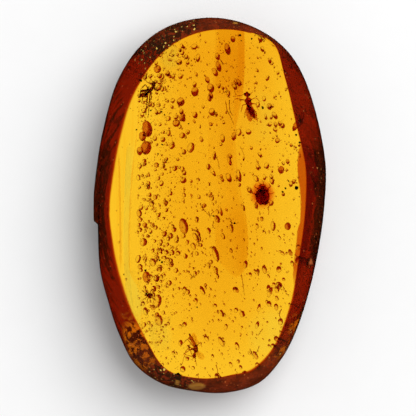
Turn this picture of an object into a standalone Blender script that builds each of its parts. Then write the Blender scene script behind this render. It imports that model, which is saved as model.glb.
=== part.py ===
"""Insects in amber: a polished oval slab of fossil resin with five small animals sealed inside it.

The slab lies on its flat back, long side along Y, in the XY plane, with +Z out of its front face.
It is parted in two at mid-height, so that every animal lies in a pocket that opens on the parting
plane. Everything is in metres. Lists of points are in millimetres and are scaled by MM.
"""

import math

import bmesh
import bpy
from mathutils import Matrix, Vector

MM = 0.001

# Driving dimensions of the slab
LENGTH = 36.0 * MM
WIDTH = 22.3 * MM  # over the lip on the left side
EDGE_THICKNESS = 7.2 * MM  # back face to the edge of the front face
CROWN = 0.35 * MM  # how far the middle of the front face stands above its edge
GIRDLE_HEIGHT = 3.3 * MM  # where the slab is widest
PARTING_HEIGHT = 3.7 * MM
PARTING_GAP = 0.3 * MM

# The slab's outline, counter-clockwise from its right side: x, y, and the width there of the
# rounded side as seen from the front, in millimetres
STATIONS = [
    (11.05, 0.0, 1.65),
    (11.15, 4.0, 1.8),
    (10.3, 8.6, 2.0),
    (8.95, 12.55, 1.65),
    (7.15, 15.15, 1.0),
    (4.55, 16.95, 0.5),
    (1.5, 17.9, 0.85),
    (-1.6, 17.85, 1.25),
    (-4.55, 16.85, 1.65),
    (-6.95, 14.9, 1.9),
    (-8.65, 12.25, 2.0),
    (-9.6, 9.6, 1.95),
    (-10.4, 6.0, 1.8),
    (-10.75, 2.0, 1.4),
    (-10.76, -0.2, 1.15),
    (-10.7, -1.9, 1.15),
    (-10.5, -6.05, 1.75),
    (-9.6, -9.65, 1.95),
    (-8.65, -12.45, 2.1),
    (-7.15, -15.3, 2.05),
    (-4.6, -17.15, 1.25),
    (-1.5, -17.9, 1.1),
    (1.6, -18.05, 1.4),
    (4.7, -17.15, 1.55),
    (6.9, -14.85, 1.3),
    (8.4, -11.95, 1.35),
    (9.65, -8.05, 1.45),
    (10.55, -3.85, 1.55),
]
SAMPLES_PER_STATION = 4

# The rounded side: a superellipse from the edge of a face to the girdle
ROUNDNESS = 3.0  # exponent: 2 is an ellipse, more is squarer
FACE_EDGE_START = 0.4  # share of the superellipse's half width where the face's crisp edge cuts it
FRONT_SIDE_RINGS = 6
BACK_SIDE_RINGS = 6
CROWN_RINGS = 2
CREASE_ANGLE = math.radians(30)  # edges sharper than this are shaded as edges

# The back's rounded side is wider on the right, where it shows through the front face
BACK_WIDTH_SHARE = 0.8
BACK_BEVEL_EXTRA = 1.2 * MM
BACK_BEVEL_MIDDLE_Y = -0.5 * MM
BACK_BEVEL_HALF_SPAN = 8.5 * MM

# A lip of an older flow stands proud of the left side and is broken off at its lower end
LIP_PROUD = 0.36 * MM
LIP_TOP_Y = 8.0 * MM
LIP_BREAK_Y = -1.45 * MM
LIP_BREAK_SPAN = 0.4 * MM
LIP_HALF_HEIGHT = 2.4 * MM

POCKET_SIDES = 12
LIMB_TAPER = 0.5  # share of a limb's radius left at its far end

AMBER = (0.86, 0.36, 0.02, 1.0)
DARK_CHITIN = (0.05, 0.012, 0.006, 1.0)
RED_CHITIN = (0.20, 0.03, 0.008, 1.0)
BROWN_CHITIN = (0.14, 0.05, 0.015, 1.0)


# Scene and materials


def clear_scene():
    for obj in list(bpy.data.objects):
        bpy.data.objects.remove(obj)


def make_collection(name, parent=None, helper=False):
    collection = bpy.data.collections.new(name)
    (parent or bpy.context.scene.collection).children.link(collection)
    collection.hide_render = helper
    return collection


def make_material(name, colour, roughness, transmission=0.0):
    material = bpy.data.materials.new(name)
    material.use_nodes = True
    shader = material.node_tree.nodes["Principled BSDF"]
    shader.inputs["Base Color"].default_value = colour
    shader.inputs["Roughness"].default_value = roughness
    shader.inputs["Metallic"].default_value = 0.0
    shader.inputs["Transmission Weight"].default_value = transmission
    shader.inputs["IOR"].default_value = 1.54
    return material


def add_object(name, mesh, collection, material=None, helper=False):
    obj = bpy.data.objects.new(name, mesh)
    collection.objects.link(obj)
    if material is not None:
        mesh.materials.append(material)
    if helper:
        obj.hide_render = True
        obj.display_type = "WIRE"
    return obj


def mesh_from_bmesh(name, form):
    mesh = bpy.data.meshes.new(name)
    form.to_mesh(mesh)
    form.free()
    mesh.shade_smooth()
    mesh.set_sharp_from_angle(angle=CREASE_ANGLE)
    return mesh


# The slab


def catmull_rom(values, position):
    """The closed Catmull-Rom curve through values, at a position counted in stations."""
    count = len(values)
    start = int(math.floor(position))
    t = position - start
    a, b, c, d = (values[(start + k) % count] for k in (-1, 0, 1, 2))
    return 0.5 * (
        2 * b + (c - a) * t + (2 * a - 5 * b + 4 * c - d) * t * t + (3 * b - a - 3 * c + d) * t**3
    )


def smooth_step(t):
    t = min(1.0, max(0.0, t))
    return t * t * (3 - 2 * t)


def lip(point, height):
    """How far the left side's lip stands proud at this point of the girdle and this height."""
    if point.x > 0:
        return 0.0
    rise = smooth_step((LIP_TOP_Y - point.y) / (LIP_TOP_Y - LIP_BREAK_Y))
    broken = smooth_step((point.y - LIP_BREAK_Y) / LIP_BREAK_SPAN + 1)
    band = smooth_step(2 * (1 - abs(height - GIRDLE_HEIGHT) / LIP_HALF_HEIGHT))
    return LIP_PROUD * rise * broken * band


def outline():
    """The girdle as (point, inward normal, front rim width), scaled to LENGTH and WIDTH and centred."""
    count = len(STATIONS) * SAMPLES_PER_STATION
    columns = list(zip(*STATIONS))
    positions = [k / SAMPLES_PER_STATION for k in range(count)]
    xs, ys, rims = ([catmull_rom(column, p) for p in positions] for column in columns)
    left = min(x - lip(Vector((x, y)) * MM, GIRDLE_HEIGHT) / MM for x, y in zip(xs, ys))
    middle = Vector(((left + max(xs)) / 2, (min(ys) + max(ys)) / 2))
    scale = Vector((WIDTH / (max(xs) - left), LENGTH / (max(ys) - min(ys))))
    points = [Vector(((x - middle.x) * scale.x, (y - middle.y) * scale.y)) for x, y in zip(xs, ys)]
    girdle = []
    for k, point in enumerate(points):
        along = (points[(k + 1) % count] - points[k - 1]).normalized()
        girdle.append((point, Vector((-along.y, along.x)), rims[k] * MM))
    return girdle


def back_rim_width(point, front_width):
    """The rounded side's width on the back: a share of the front's, and more on the right."""
    off_middle = abs(point.y - BACK_BEVEL_MIDDLE_Y) / BACK_BEVEL_HALF_SPAN
    on_right = smooth_step(2 * (1 - off_middle)) if point.x > 0 else 0.0
    return front_width * BACK_WIDTH_SHARE + BACK_BEVEL_EXTRA * on_right


def side_profile(rings):
    """Steps from a face's edge (1, 1) to the girdle (0, 0): (share of rim width, share of height)."""
    start = math.acos(FACE_EDGE_START ** (ROUNDNESS / 2))
    top = math.sin(start) ** (2 / ROUNDNESS)
    steps = []
    for k in range(rings):
        angle = start * (1 - k / (rings - 1))
        across = math.cos(angle) ** (2 / ROUNDNESS)
        up = math.sin(angle) ** (2 / ROUNDNESS)
        steps.append(((1 - across) / (1 - FACE_EDGE_START), up / top))
    return steps


def level_ring(points, height):
    return [Vector((point.x, point.y, height)) for point in points]


def slab_rings(girdle):
    """Rings of points from the crown of the front face, over the girdle, to the back face."""
    rings = []
    for k in range(1, CROWN_RINGS + 1):
        share = k / (CROWN_RINGS + 1)
        height = EDGE_THICKNESS + CROWN * (1 - share * share)
        rings.append(level_ring([(p + n * w) * share for p, n, w in girdle], height))
    for inset, rise in side_profile(FRONT_SIDE_RINGS):
        height = GIRDLE_HEIGHT + (EDGE_THICKNESS - GIRDLE_HEIGHT) * rise
        points = [p + n * (w * inset - lip(p, height)) for p, n, w in girdle]
        rings.append(level_ring(points, height))
    for inset, rise in reversed(side_profile(BACK_SIDE_RINGS)[:-1]):
        height = GIRDLE_HEIGHT * (1 - rise)
        points = [p + n * (back_rim_width(p, w) * inset - lip(p, height)) for p, n, w in girdle]
        rings.append(level_ring(points, height))
    return rings


def slab_mesh(name):
    """The whole slab as a loft of its rings, closed by a fan at the crown and by the flat back."""
    form = bmesh.new()
    rings = [[form.verts.new(q) for q in ring] for ring in slab_rings(outline())]
    count = len(rings[0])
    crown = form.verts.new((0, 0, EDGE_THICKNESS + CROWN))
    for k in range(count):
        form.faces.new((crown, rings[0][k], rings[0][(k + 1) % count]))
    for upper, lower in zip(rings, rings[1:]):
        for k in range(count):
            after = (k + 1) % count
            form.faces.new((upper[k], lower[k], lower[after], upper[after]))
    form.faces.new(reversed(rings[-1]))
    bmesh.ops.recalc_face_normals(form, faces=form.faces)
    return mesh_from_bmesh(name, form)


def box_cutter(name, bottom, top, collection):
    """A box wider than the slab, between two heights."""
    form = bmesh.new()
    bmesh.ops.create_cube(form, size=1.0)
    size = Vector((2 * WIDTH, 2 * LENGTH, top - bottom))
    bmesh.ops.transform(
        form,
        matrix=Matrix.Translation((0, 0, (top + bottom) / 2)) @ Matrix.Diagonal((*size, 1)),
        verts=form.verts,
    )
    return add_object(name, mesh_from_bmesh(name, form), collection, helper=True)


def slab_half(name, bottom, top, pockets, parts, cutters, material):
    """The slab between two heights, less the pockets."""
    half = add_object(name, slab_mesh(name), parts, material)
    keep = half.modifiers.new("keep", "BOOLEAN")
    keep.operation = "INTERSECT"
    keep.object = box_cutter(name + "_range", bottom, top, cutters)
    hollow = half.modifiers.new("pockets", "BOOLEAN")
    hollow.operation = "DIFFERENCE"
    hollow.operand_type = "COLLECTION"
    hollow.collection = pockets
    return half


# The animals


def ellipsoid(name, centre, radii, yaw=0.0, pitch=0.0, sides=10):
    """An ellipsoid in millimetres, turned by yaw about Z after pitch about its own X, in degrees."""
    form = bmesh.new()
    bmesh.ops.create_uvsphere(form, u_segments=sides, v_segments=sides * 3 // 4, radius=1.0)
    turn = Matrix.Rotation(math.radians(yaw), 4, "Z") @ Matrix.Rotation(math.radians(pitch), 4, "X")
    lie = Matrix.Rotation(math.radians(90), 4, "X")  # its poles point along Y, as a body's ends do
    size = Matrix.Diagonal((*(Vector(radii) * MM), 1))
    matrix = Matrix.Translation(Vector(centre) * MM) @ turn @ size @ lie
    bmesh.ops.transform(form, matrix=matrix, verts=form.verts)
    return mesh_from_bmesh(name, form)


def limb(name, radius, *points):
    """A leg or feeler: a tube through points in millimetres that tapers to its far end."""
    curve = bpy.data.curves.new(name, "CURVE")
    curve.dimensions = "3D"
    curve.bevel_depth = MM
    curve.bevel_resolution = 1
    curve.use_fill_caps = True
    spline = curve.splines.new("POLY")
    spline.points.add(len(points) - 1)
    for k, point in enumerate(points):
        spline.points[k].co = (*(Vector(point) * MM), 1)
        spline.points[k].radius = radius * (1 - (1 - LIMB_TAPER) * k / (len(points) - 1))
    guide = bpy.data.objects.new(name, curve)
    bpy.context.scene.collection.objects.link(guide)
    bpy.context.view_layer.update()
    graph = bpy.context.evaluated_depsgraph_get()
    mesh = bpy.data.meshes.new_from_object(guide.evaluated_get(graph))
    bpy.data.objects.remove(guide)
    form = bmesh.new()
    form.from_mesh(mesh)
    bmesh.ops.remove_doubles(form, verts=form.verts, dist=MM * 0.0001)
    bmesh.ops.recalc_face_normals(form, faces=form.faces)
    return mesh_from_bmesh(name, form)


def fused(name, place, meshes, parts, helpers, material):
    """One solid animal: its first mesh with all the others joined to it by a Boolean, at place."""
    body = add_object(name, meshes[0], parts, material)
    body.location = Vector(place) * MM
    pieces = make_collection(name + "_pieces", helpers, helper=True)
    for mesh in meshes[1:]:
        piece = add_object(mesh.name, mesh, pieces, material, helper=True)
        piece.location = body.location
    join = body.modifiers.new("join", "BOOLEAN")
    join.operation = "UNION"
    join.operand_type = "COLLECTION"
    join.collection = pieces
    return body


def wasp_meshes():
    """A small parasitic wasp seen from above, head up, wings folded along its abdomen."""
    return [
        ellipsoid("wasp_thorax", (0.29, -0.28, 0.0), (0.38, 0.46, 0.34), yaw=20),
        ellipsoid("wasp_head", (0.13, 0.48, 0.02), (0.27, 0.22, 0.22), yaw=-10),
        ellipsoid("wasp_neck", (0.15, 0.18, 0.0), (0.13, 0.24, 0.13)),
        ellipsoid("wasp_waist", (0.36, -0.72, 0.0), (0.14, 0.22, 0.13), yaw=15),
        ellipsoid("wasp_abdomen", (0.56, -1.18, 0.0), (0.28, 0.58, 0.26), yaw=28),
        ellipsoid("wasp_near_wing", (0.30, -1.2, 0.28), (0.26, 0.95, 0.04), yaw=8, pitch=-5),
        ellipsoid("wasp_far_wing", (0.55, -1.15, 0.3), (0.24, 0.92, 0.04), yaw=30, pitch=-7),
        limb("wasp_left_feeler", 0.05, (0.0, 0.5, 0.1), (-0.45, 0.36, 0.2), (-1.2, 0.3, 0.25)),
        limb("wasp_right_feeler", 0.05, (0.25, 0.5, 0.1), (0.45, 0.5, 0.2), (0.64, 0.72, 0.25)),
        limb("wasp_left_fore_leg", 0.07, (0.2, -0.1, -0.15), (-0.35, 0.0, -0.3), (-1.0, 0.08, -0.4)),
        limb("wasp_left_mid_leg", 0.06, (0.2, -0.4, -0.2), (-0.3, -0.55, -0.4), (-0.42, -1.2, -0.5)),
        limb("wasp_left_hind_leg", 0.07, (0.3, -0.6, -0.2), (-0.05, -1.1, -0.4), (-0.1, -1.75, -0.5)),
        limb("wasp_right_fore_leg", 0.06, (0.4, -0.1, -0.1), (0.92, 0.18, -0.2), (1.32, -0.17, -0.3)),
        limb("wasp_right_mid_leg", 0.06, (0.45, -0.35, -0.15), (0.95, -0.4, -0.35), (1.15, -0.95, -0.45)),
        limb("wasp_right_hind_leg", 0.06, (0.5, -0.55, -0.2), (1.02, -1.3, -0.35), (1.07, -2.1, -0.4)),
    ]


def ant_meshes():
    """A long-legged ant lying on its side, with its near legs folded and two hanging straight."""
    return [
        ellipsoid("ant_thorax", (0.16, -0.1, 0.0), (0.25, 0.4, 0.24), yaw=-50),
        ellipsoid("ant_head", (0.5, 0.38, 0.02), (0.2, 0.32, 0.2), yaw=-12),
        ellipsoid("ant_waist", (-0.1, -0.33, 0.0), (0.12, 0.22, 0.12), yaw=-55),
        ellipsoid("ant_gaster", (-0.4, -0.55, 0.0), (0.2, 0.42, 0.22), yaw=-75),
        limb("ant_left_feeler", 0.045, (0.4, 0.55, 0.1), (-0.1, 0.7, 0.25), (-0.42, 1.36, 0.3)),
        limb("ant_right_feeler", 0.05, (0.6, 0.55, 0.05), (0.62, 0.85, 0.1), (0.8, 1.0, 0.1)),
        limb("ant_fore_leg", 0.07, (0.05, 0.0, 0.15), (-0.25, 0.48, 0.3), (-0.72, -0.02, 0.3)),
        limb("ant_near_mid_leg", 0.085, (0.1, -0.05, 0.15), (-0.68, -0.08, 0.35), (-0.74, -0.5, 0.3)),
        limb("ant_far_mid_leg", 0.07, (0.1, -0.2, -0.1), (-0.5, -0.75, -0.3), (-0.6, -1.3, -0.3)),
        limb("ant_near_hind_leg", 0.07, (0.0, -0.25, -0.1), (-0.1, -1.25, -0.2), (-0.2, -2.4, -0.2)),
        limb("ant_far_hind_leg", 0.06, (0.22, -0.2, -0.1), (0.1, -1.45, -0.35), (0.0, -2.7, -0.35)),
        limb("ant_far_fore_leg", 0.06, (0.3, -0.1, -0.1), (0.32, -0.75, -0.3), (0.2, -1.15, -0.3)),
    ]


def beetle_meshes():
    """A round beetle with its legs drawn in."""
    right_legs = {
        "fore_leg": ((0.4, 0.5, -0.08), (0.78, 0.75, -0.2), (0.62, 1.0, -0.3)),
        "mid_leg": ((0.5, 0.0, -0.08), (0.95, 0.1, -0.2), (1.12, 0.22, -0.3)),
        "hind_leg": ((0.4, -0.5, -0.08), (0.7, -0.95, -0.2), (0.5, -1.45, -0.3)),
    }
    legs = []
    for word, points in right_legs.items():
        legs.append(limb("beetle_right_" + word, 0.08, *points))
        legs.append(limb("beetle_left_" + word, 0.08, *[(-x, y, z) for x, y, z in points]))
    return [
        ellipsoid("beetle_back", (0.0, -0.2, 0.05), (0.68, 0.78, 0.42)),
        ellipsoid("beetle_left_wing_case", (-0.2, -0.24, 0.14), (0.46, 0.76, 0.4)),
        ellipsoid("beetle_right_wing_case", (0.2, -0.24, 0.14), (0.46, 0.76, 0.4)),
        ellipsoid("beetle_shield", (0.0, 0.48, 0.05), (0.5, 0.3, 0.33)),
        ellipsoid("beetle_head", (0.0, 0.78, -0.02), (0.3, 0.22, 0.22)),
        limb("beetle_left_feeler", 0.05, (-0.1, 0.85, 0.0), (-0.32, 1.12, 0.1), (-0.46, 1.3, 0.1)),
        limb("beetle_right_feeler", 0.05, (0.1, 0.85, 0.0), (0.05, 1.2, 0.1), (-0.15, 1.42, 0.1)),
        *legs,
    ]


def mite_meshes():
    """A mite: a round body, a small mouth part to the left and eight short legs."""
    hip = Vector((-0.1, 0.0, -0.08))
    spreads_and_reaches = [(35, 0.85), (70, 0.62), (110, 0.6), (145, 0.7)]
    legs = []
    for side in (-1, 1):
        for row, (spread, reach) in enumerate(spreads_and_reaches):
            heading = math.radians(180 + side * spread)
            way = Vector((math.cos(heading), math.sin(heading), 0.0))
            knee = hip + way * reach * 0.62 + Vector((0.0, 0.0, 0.1))
            foot = hip + way * reach + Vector((0.0, 0.0, -0.06))
            legs.append(limb(f"mite_leg_{side}_{row}", 0.05, hip + way * 0.15, knee, foot))
    return [
        ellipsoid("mite_body", (0.0, 0.0, 0.0), (0.3, 0.26, 0.24)),
        ellipsoid("mite_mouth", (-0.34, 0.03, -0.02), (0.17, 0.1, 0.1)),
        *legs,
    ]


def gnat_meshes():
    """A fungus gnat on its side: abdomen up, head down, wings spread, long legs to the left."""
    return [
        ellipsoid("gnat_thorax", (0.36, -0.05, 0.0), (0.26, 0.38, 0.26), yaw=8),
        ellipsoid("gnat_abdomen", (0.05, 0.75, 0.0), (0.19, 0.68, 0.18), yaw=26),
        ellipsoid("gnat_neck", (0.3, -0.48, 0.0), (0.11, 0.22, 0.11), yaw=-15),
        ellipsoid("gnat_head", (0.22, -0.72, 0.0), (0.19, 0.2, 0.17)),
        ellipsoid("gnat_near_wing", (0.66, -0.55, 0.14), (0.3, 0.68, 0.035), yaw=48, pitch=-6),
        ellipsoid("gnat_far_wing", (0.3, 0.7, 0.18), (0.25, 0.82, 0.035), yaw=14, pitch=6),
        limb("gnat_feeler", 0.06, (0.24, -0.8, 0.0), (0.34, -1.15, 0.1), (0.46, -1.64, 0.1)),
        limb("gnat_beak", 0.05, (0.18, -0.8, 0.0), (0.1, -1.0, 0.0), (0.08, -1.15, 0.0)),
        limb("gnat_near_fore_leg", 0.06, (0.25, -0.2, 0.1), (-0.35, 0.25, 0.3), (0.0, -0.65, 0.35)),
        limb("gnat_near_mid_leg", 0.055, (0.25, -0.1, 0.1), (-0.5, -0.1, 0.3), (-0.93, -1.5, 0.3)),
        limb("gnat_near_hind_leg", 0.06, (0.25, 0.1, 0.1), (-0.45, 0.9, 0.2), (-0.8, 0.5, 0.2)),
        limb("gnat_far_fore_leg", 0.055, (0.3, -0.25, -0.1), (0.02, -0.78, -0.3), (-0.62, -0.58, -0.3)),
        limb("gnat_far_mid_leg", 0.05, (0.3, 0.0, -0.1), (-0.3, -0.2, -0.35), (-0.78, -0.58, -0.35)),
        limb("gnat_far_hind_leg", 0.05, (0.35, 0.15, -0.1), (0.75, 0.6, -0.3), (0.95, 0.15, -0.3)),
    ]


# Each animal: how it is made, where it lies, its colour, and the middle (from the animal) and half
# size of its pocket, in millimetres
ANIMALS = {
    "wasp": (wasp_meshes, (3.4, 10.1, 3.85), RED_CHITIN, (0.1, -0.75, -0.05), (2.4, 2.5, 1.3)),
    "ant": (ant_meshes, (-5.85, 11.05, 3.85), DARK_CHITIN, (0.0, -0.7, 0.0), (1.75, 3.25, 1.2)),
    "beetle": (beetle_meshes, (5.0, 1.05, 3.8), DARK_CHITIN, (0.0, -0.05, 0.05), (2.1, 2.4, 1.25)),
    "mite": (mite_meshes, (-5.65, -8.6, 3.85), DARK_CHITIN, (-0.1, 0.0, -0.02), (1.45, 1.45, 0.85)),
    "gnat": (gnat_meshes, (-1.7, -13.65, 3.85), BROWN_CHITIN, (0.1, -0.15, 0.0), (2.15, 2.7, 1.2)),
}


def main():
    clear_scene()
    parts = make_collection("insects_in_amber")
    helpers = make_collection("helpers", helper=True)
    pockets = make_collection("pockets", helper=True)
    amber = make_material("amber", AMBER, roughness=0.05, transmission=1.0)

    for name, (meshes, place, colour, pocket_middle, pocket_half) in ANIMALS.items():
        chitin = make_material(name + "_chitin", colour, roughness=0.4)
        fused(name, place, meshes(), parts, helpers, chitin)
        pocket = ellipsoid(name + "_pocket", pocket_middle, pocket_half, sides=POCKET_SIDES)
        add_object(pocket.name, pocket, pockets, helper=True).location = Vector(place) * MM

    half_gap = PARTING_GAP / 2
    top = 2 * EDGE_THICKNESS
    slab_half("amber_back", -top, PARTING_HEIGHT - half_gap, pockets, parts, helpers, amber)
    slab_half("amber_front", PARTING_HEIGHT + half_gap, top, pockets, parts, helpers, amber)


main()
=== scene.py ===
"""Dresses the slab of amber and the five small animals sealed in it.

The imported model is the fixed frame. One clear piece takes the place of the slab's two halves, fine
pieces take the place of the animals, and the bubbles, flow layers, hairs and specks of the resin are
added inside. Lengths in this file are millimetres, and MM turns them into metres.
"""

import itertools
import logging
import math
from dataclasses import dataclass, field
from enum import Enum
from typing import Any, Sequence

import bpy
import numpy as np
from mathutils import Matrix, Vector


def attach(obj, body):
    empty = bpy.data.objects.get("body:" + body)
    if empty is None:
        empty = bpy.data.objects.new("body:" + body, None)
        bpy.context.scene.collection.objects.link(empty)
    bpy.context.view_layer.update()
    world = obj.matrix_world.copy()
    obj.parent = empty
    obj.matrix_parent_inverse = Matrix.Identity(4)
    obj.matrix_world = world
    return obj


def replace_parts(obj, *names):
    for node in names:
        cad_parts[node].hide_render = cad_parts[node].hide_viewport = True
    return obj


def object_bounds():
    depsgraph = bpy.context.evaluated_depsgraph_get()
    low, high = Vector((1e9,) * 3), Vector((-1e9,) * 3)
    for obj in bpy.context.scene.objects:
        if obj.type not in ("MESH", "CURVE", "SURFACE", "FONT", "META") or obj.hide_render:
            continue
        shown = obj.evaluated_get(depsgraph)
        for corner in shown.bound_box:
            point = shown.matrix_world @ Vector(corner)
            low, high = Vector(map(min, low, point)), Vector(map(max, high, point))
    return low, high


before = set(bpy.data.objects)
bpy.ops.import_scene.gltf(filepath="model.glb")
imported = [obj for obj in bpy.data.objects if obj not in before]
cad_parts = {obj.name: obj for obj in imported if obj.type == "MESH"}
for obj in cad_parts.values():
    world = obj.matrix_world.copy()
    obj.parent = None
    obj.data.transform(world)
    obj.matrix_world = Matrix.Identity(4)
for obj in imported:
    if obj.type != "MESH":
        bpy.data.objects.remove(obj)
CAD_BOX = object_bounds()

MM = 0.001
ROOT_BODY = "root"
LOG = logging.getLogger("insects_in_amber")

Colour = tuple[float, float, float]
Point = tuple[float, float, float]
Path = tuple[tuple[float, float], ...]
Spots = tuple[tuple[float, ...], ...]

WHITE = (1.0, 1.0, 1.0)
RIM_COORDINATES = ("rim_x", "rim_y", "rim_down")
CURVE_REACH = 20.0
LAYER_ROWS = 48
NO_TURN = np.eye(3)
FACE_EDGE_SHARES = (0.93, 0.95, 0.965, 0.98, 0.99, 0.995, 0.999)
BACK_SHARES = (0.99, 0.98, 0.965, 0.95, 0.93, 0.9, 0.6)


class Slot(Enum):
    """The record's material slots."""

    AMBER = "amber"
    RED = "red_chitin"
    DARK = "dark_chitin"
    BROWN = "brown_chitin"


# ---- surfaces


@dataclass
class Form:
    """A surface: its points in millimetres, its faces, and the values that its points carry.

    Attributes:
        points: Array of points, one row each.
        quads: Four-sided faces as rows of point numbers.
        triangles: Three-sided faces as rows of point numbers.
        values: One number a point for each named attribute.
    """

    points: np.ndarray
    quads: np.ndarray
    triangles: np.ndarray
    values: dict[str, np.ndarray] = field(default_factory=dict)

    def volume(self) -> float:
        """The signed volume: the sum of the tetrahedra from the origin to each triangle."""
        faces = np.concatenate([self.quads[:, [0, 1, 2]], self.quads[:, [0, 2, 3]], self.triangles])
        a, b, c = (self.points[faces[:, k]] for k in range(3))
        return float(np.einsum("ij,ij->i", a, np.cross(b, c)).sum() / 6)

    def outward(self) -> "Form":
        """Turns the faces over if they point inwards."""
        if self.volume() < 0:
            self.quads = self.quads[:, ::-1]
            self.triangles = self.triangles[:, ::-1]
        return self

    def moved(self, turn: Any, shift: Sequence[float]) -> "Form":
        """The form with its points turned or scaled by a 3 x 3 matrix and then shifted."""
        points = self.points @ np.transpose(turn) + np.asarray(shift)
        return Form(points, self.quads, self.triangles, dict(self.values))

    @staticmethod
    def joined(forms: Sequence["Form"]) -> "Form":
        """All the forms in one, with their faces renumbered."""
        starts = np.cumsum([0] + [len(form.points) for form in forms[:-1]])
        return Form(
            np.concatenate([form.points for form in forms]),
            np.concatenate([form.quads + start for form, start in zip(forms, starts)]),
            np.concatenate([form.triangles + start for form, start in zip(forms, starts)]),
            {name: np.concatenate([form.values[name] for form in forms]) for name in forms[0].values},
        )

    def to_object(self, name: str, material: bpy.types.Material) -> bpy.types.Object:
        """Makes a smooth Blender object at the origin.

        Args:
            name: The object's name.
            material: What the object is dressed in.

        Returns:
            The object, linked to the scene.
        """
        mesh = bpy.data.meshes.new(name)
        loops = np.concatenate([self.quads.ravel(), self.triangles.ravel()])
        sizes = np.concatenate([np.full(len(self.quads), 4), np.full(len(self.triangles), 3)])
        mesh.vertices.add(len(self.points))
        mesh.vertices.foreach_set("co", (self.points * MM).astype(np.float32).ravel())
        mesh.loops.add(len(loops))
        mesh.loops.foreach_set("vertex_index", loops.astype(np.int32))
        mesh.polygons.add(len(sizes))
        mesh.polygons.foreach_set("loop_start", (np.cumsum(sizes) - sizes).astype(np.int32))
        mesh.update(calc_edges=True)
        mesh.shade_smooth()
        for key, numbers in self.values.items():
            attribute = mesh.attributes.new(key, "FLOAT", "POINT")
            attribute.data.foreach_set("value", numbers.astype(np.float32))
        mesh.materials.append(material)
        piece = bpy.data.objects.new(name, mesh)
        bpy.context.scene.collection.objects.link(piece)
        return piece


def ring_form(rings: np.ndarray, first: Sequence[float], last: Sequence[float]) -> Form:
    """Skins rings of points, and closes each end with a fan.

    Point (row, column) is joined to its neighbours in the row, which runs round, and to the same
    column of the next row. The two poles are joined to the first and the last row.

    Args:
        rings: Array of rows x columns x 3.
        first: The pole before the first row.
        last: The pole after the last row.

    Returns:
        The closed form, facing outwards.
    """
    rows, columns = rings.shape[:2]
    points = np.concatenate([rings.reshape(-1, 3), [first, last]])
    row, column = np.meshgrid(np.arange(rows - 1), np.arange(columns), indexing="ij")
    here = row * columns + column
    beside = row * columns + (column + 1) % columns
    quads = np.stack([here, beside, beside + columns, here + columns], axis=-1).reshape(-1, 4)
    around = np.arange(columns)
    after = (around + 1) % columns
    end = (rows - 1) * columns
    fans = [
        np.stack([after, around, np.full(columns, rows * columns)], axis=1),
        np.stack([end + around, end + after, np.full(columns, rows * columns + 1)], axis=1),
    ]
    return Form(points, quads, np.concatenate(fans)).outward()


def turn_matrix(yaw: float, pitch: float = 0.0, roll: float = 0.0) -> np.ndarray:
    """The turn by roll about Y, then pitch about X, then yaw about Z, in degrees."""
    y, p, r = np.radians([yaw, pitch, roll])
    about_z = np.array([[np.cos(y), -np.sin(y), 0], [np.sin(y), np.cos(y), 0], [0, 0, 1]])
    about_x = np.array([[1, 0, 0], [0, np.cos(p), -np.sin(p)], [0, np.sin(p), np.cos(p)]])
    about_y = np.array([[np.cos(r), 0, np.sin(r)], [0, 1, 0], [-np.sin(r), 0, np.cos(r)]])
    return about_z @ about_x @ about_y


def egg(
    centre: Point, radii: Point, yaw: float = 0.0, pitch: float = 0.0, detail: int = 12,
    blunt: float = 0.0, folds: int = 0, fold_depth: float = 0.0,
) -> Form:
    """An egg with its long axis along Y.

    With u from pole to pole and v round the axis, a point is (rx sin(u) cos(v), -ry cos(u), rz sin(u)
    sin(v)). Its girth is multiplied by 1 + blunt cos(u), and by 1 - fold_depth at the folds, whose
    place repeats folds times from pole to pole.

    Args:
        centre: The middle.
        radii: Half sizes along X, Y and Z.
        yaw: Turn about Z after the pitch, in degrees.
        pitch: Turn about X, in degrees.
        detail: Number of rows; there are a third more columns.
        blunt: Makes the -Y end fatter, or the +Y end if negative.
        folds: Number of folds across the egg.
        fold_depth: How deep they are, as a share of the girth.

    Returns:
        The closed form.
    """
    u = np.linspace(0, np.pi, detail + 1)[1:-1, None]
    v = np.linspace(0, 2 * np.pi, detail * 4 // 3, endpoint=False)[None, :]
    girth = np.sin(u) * (1 + blunt * np.cos(u))
    girth = girth * (1 - fold_depth * np.cos(u / np.pi * 2 * np.pi * folds).clip(0) ** 4)
    rings = np.stack([girth * np.cos(v), -np.cos(u) + 0 * v, girth * np.sin(v)], axis=-1) * radii
    form = ring_form(rings, (0, -radii[1], 0), (0, radii[1], 0))
    return form.moved(turn_matrix(yaw, pitch), centre)


def ball(rows: int, columns: int, power: int = 1) -> Form:
    """A ball of radius one, or a body that thins out at its rim like a bell.

    With u from pole to pole and v round Z, a point is (sin(u) cos(v), sin(u) sin(v), h), where h is cos(u)
    with its size raised to the power.

    Args:
        rows: Steps from pole to pole.
        columns: Points round Z.
        power: One for a ball, more for a thinner rim.

    Returns:
        The form, round the origin.
    """
    u = np.linspace(0, np.pi, rows + 1)[1:-1, None]
    v = np.linspace(0, 2 * np.pi, columns, endpoint=False)[None, :]
    height = np.sign(np.cos(u)) * np.abs(np.cos(u)) ** power
    rings = np.stack([np.sin(u) * np.cos(v), np.sin(u) * np.sin(v), height + 0 * v], axis=-1)
    return ring_form(rings, (0, 0, 1), (0, 0, -1))


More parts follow.
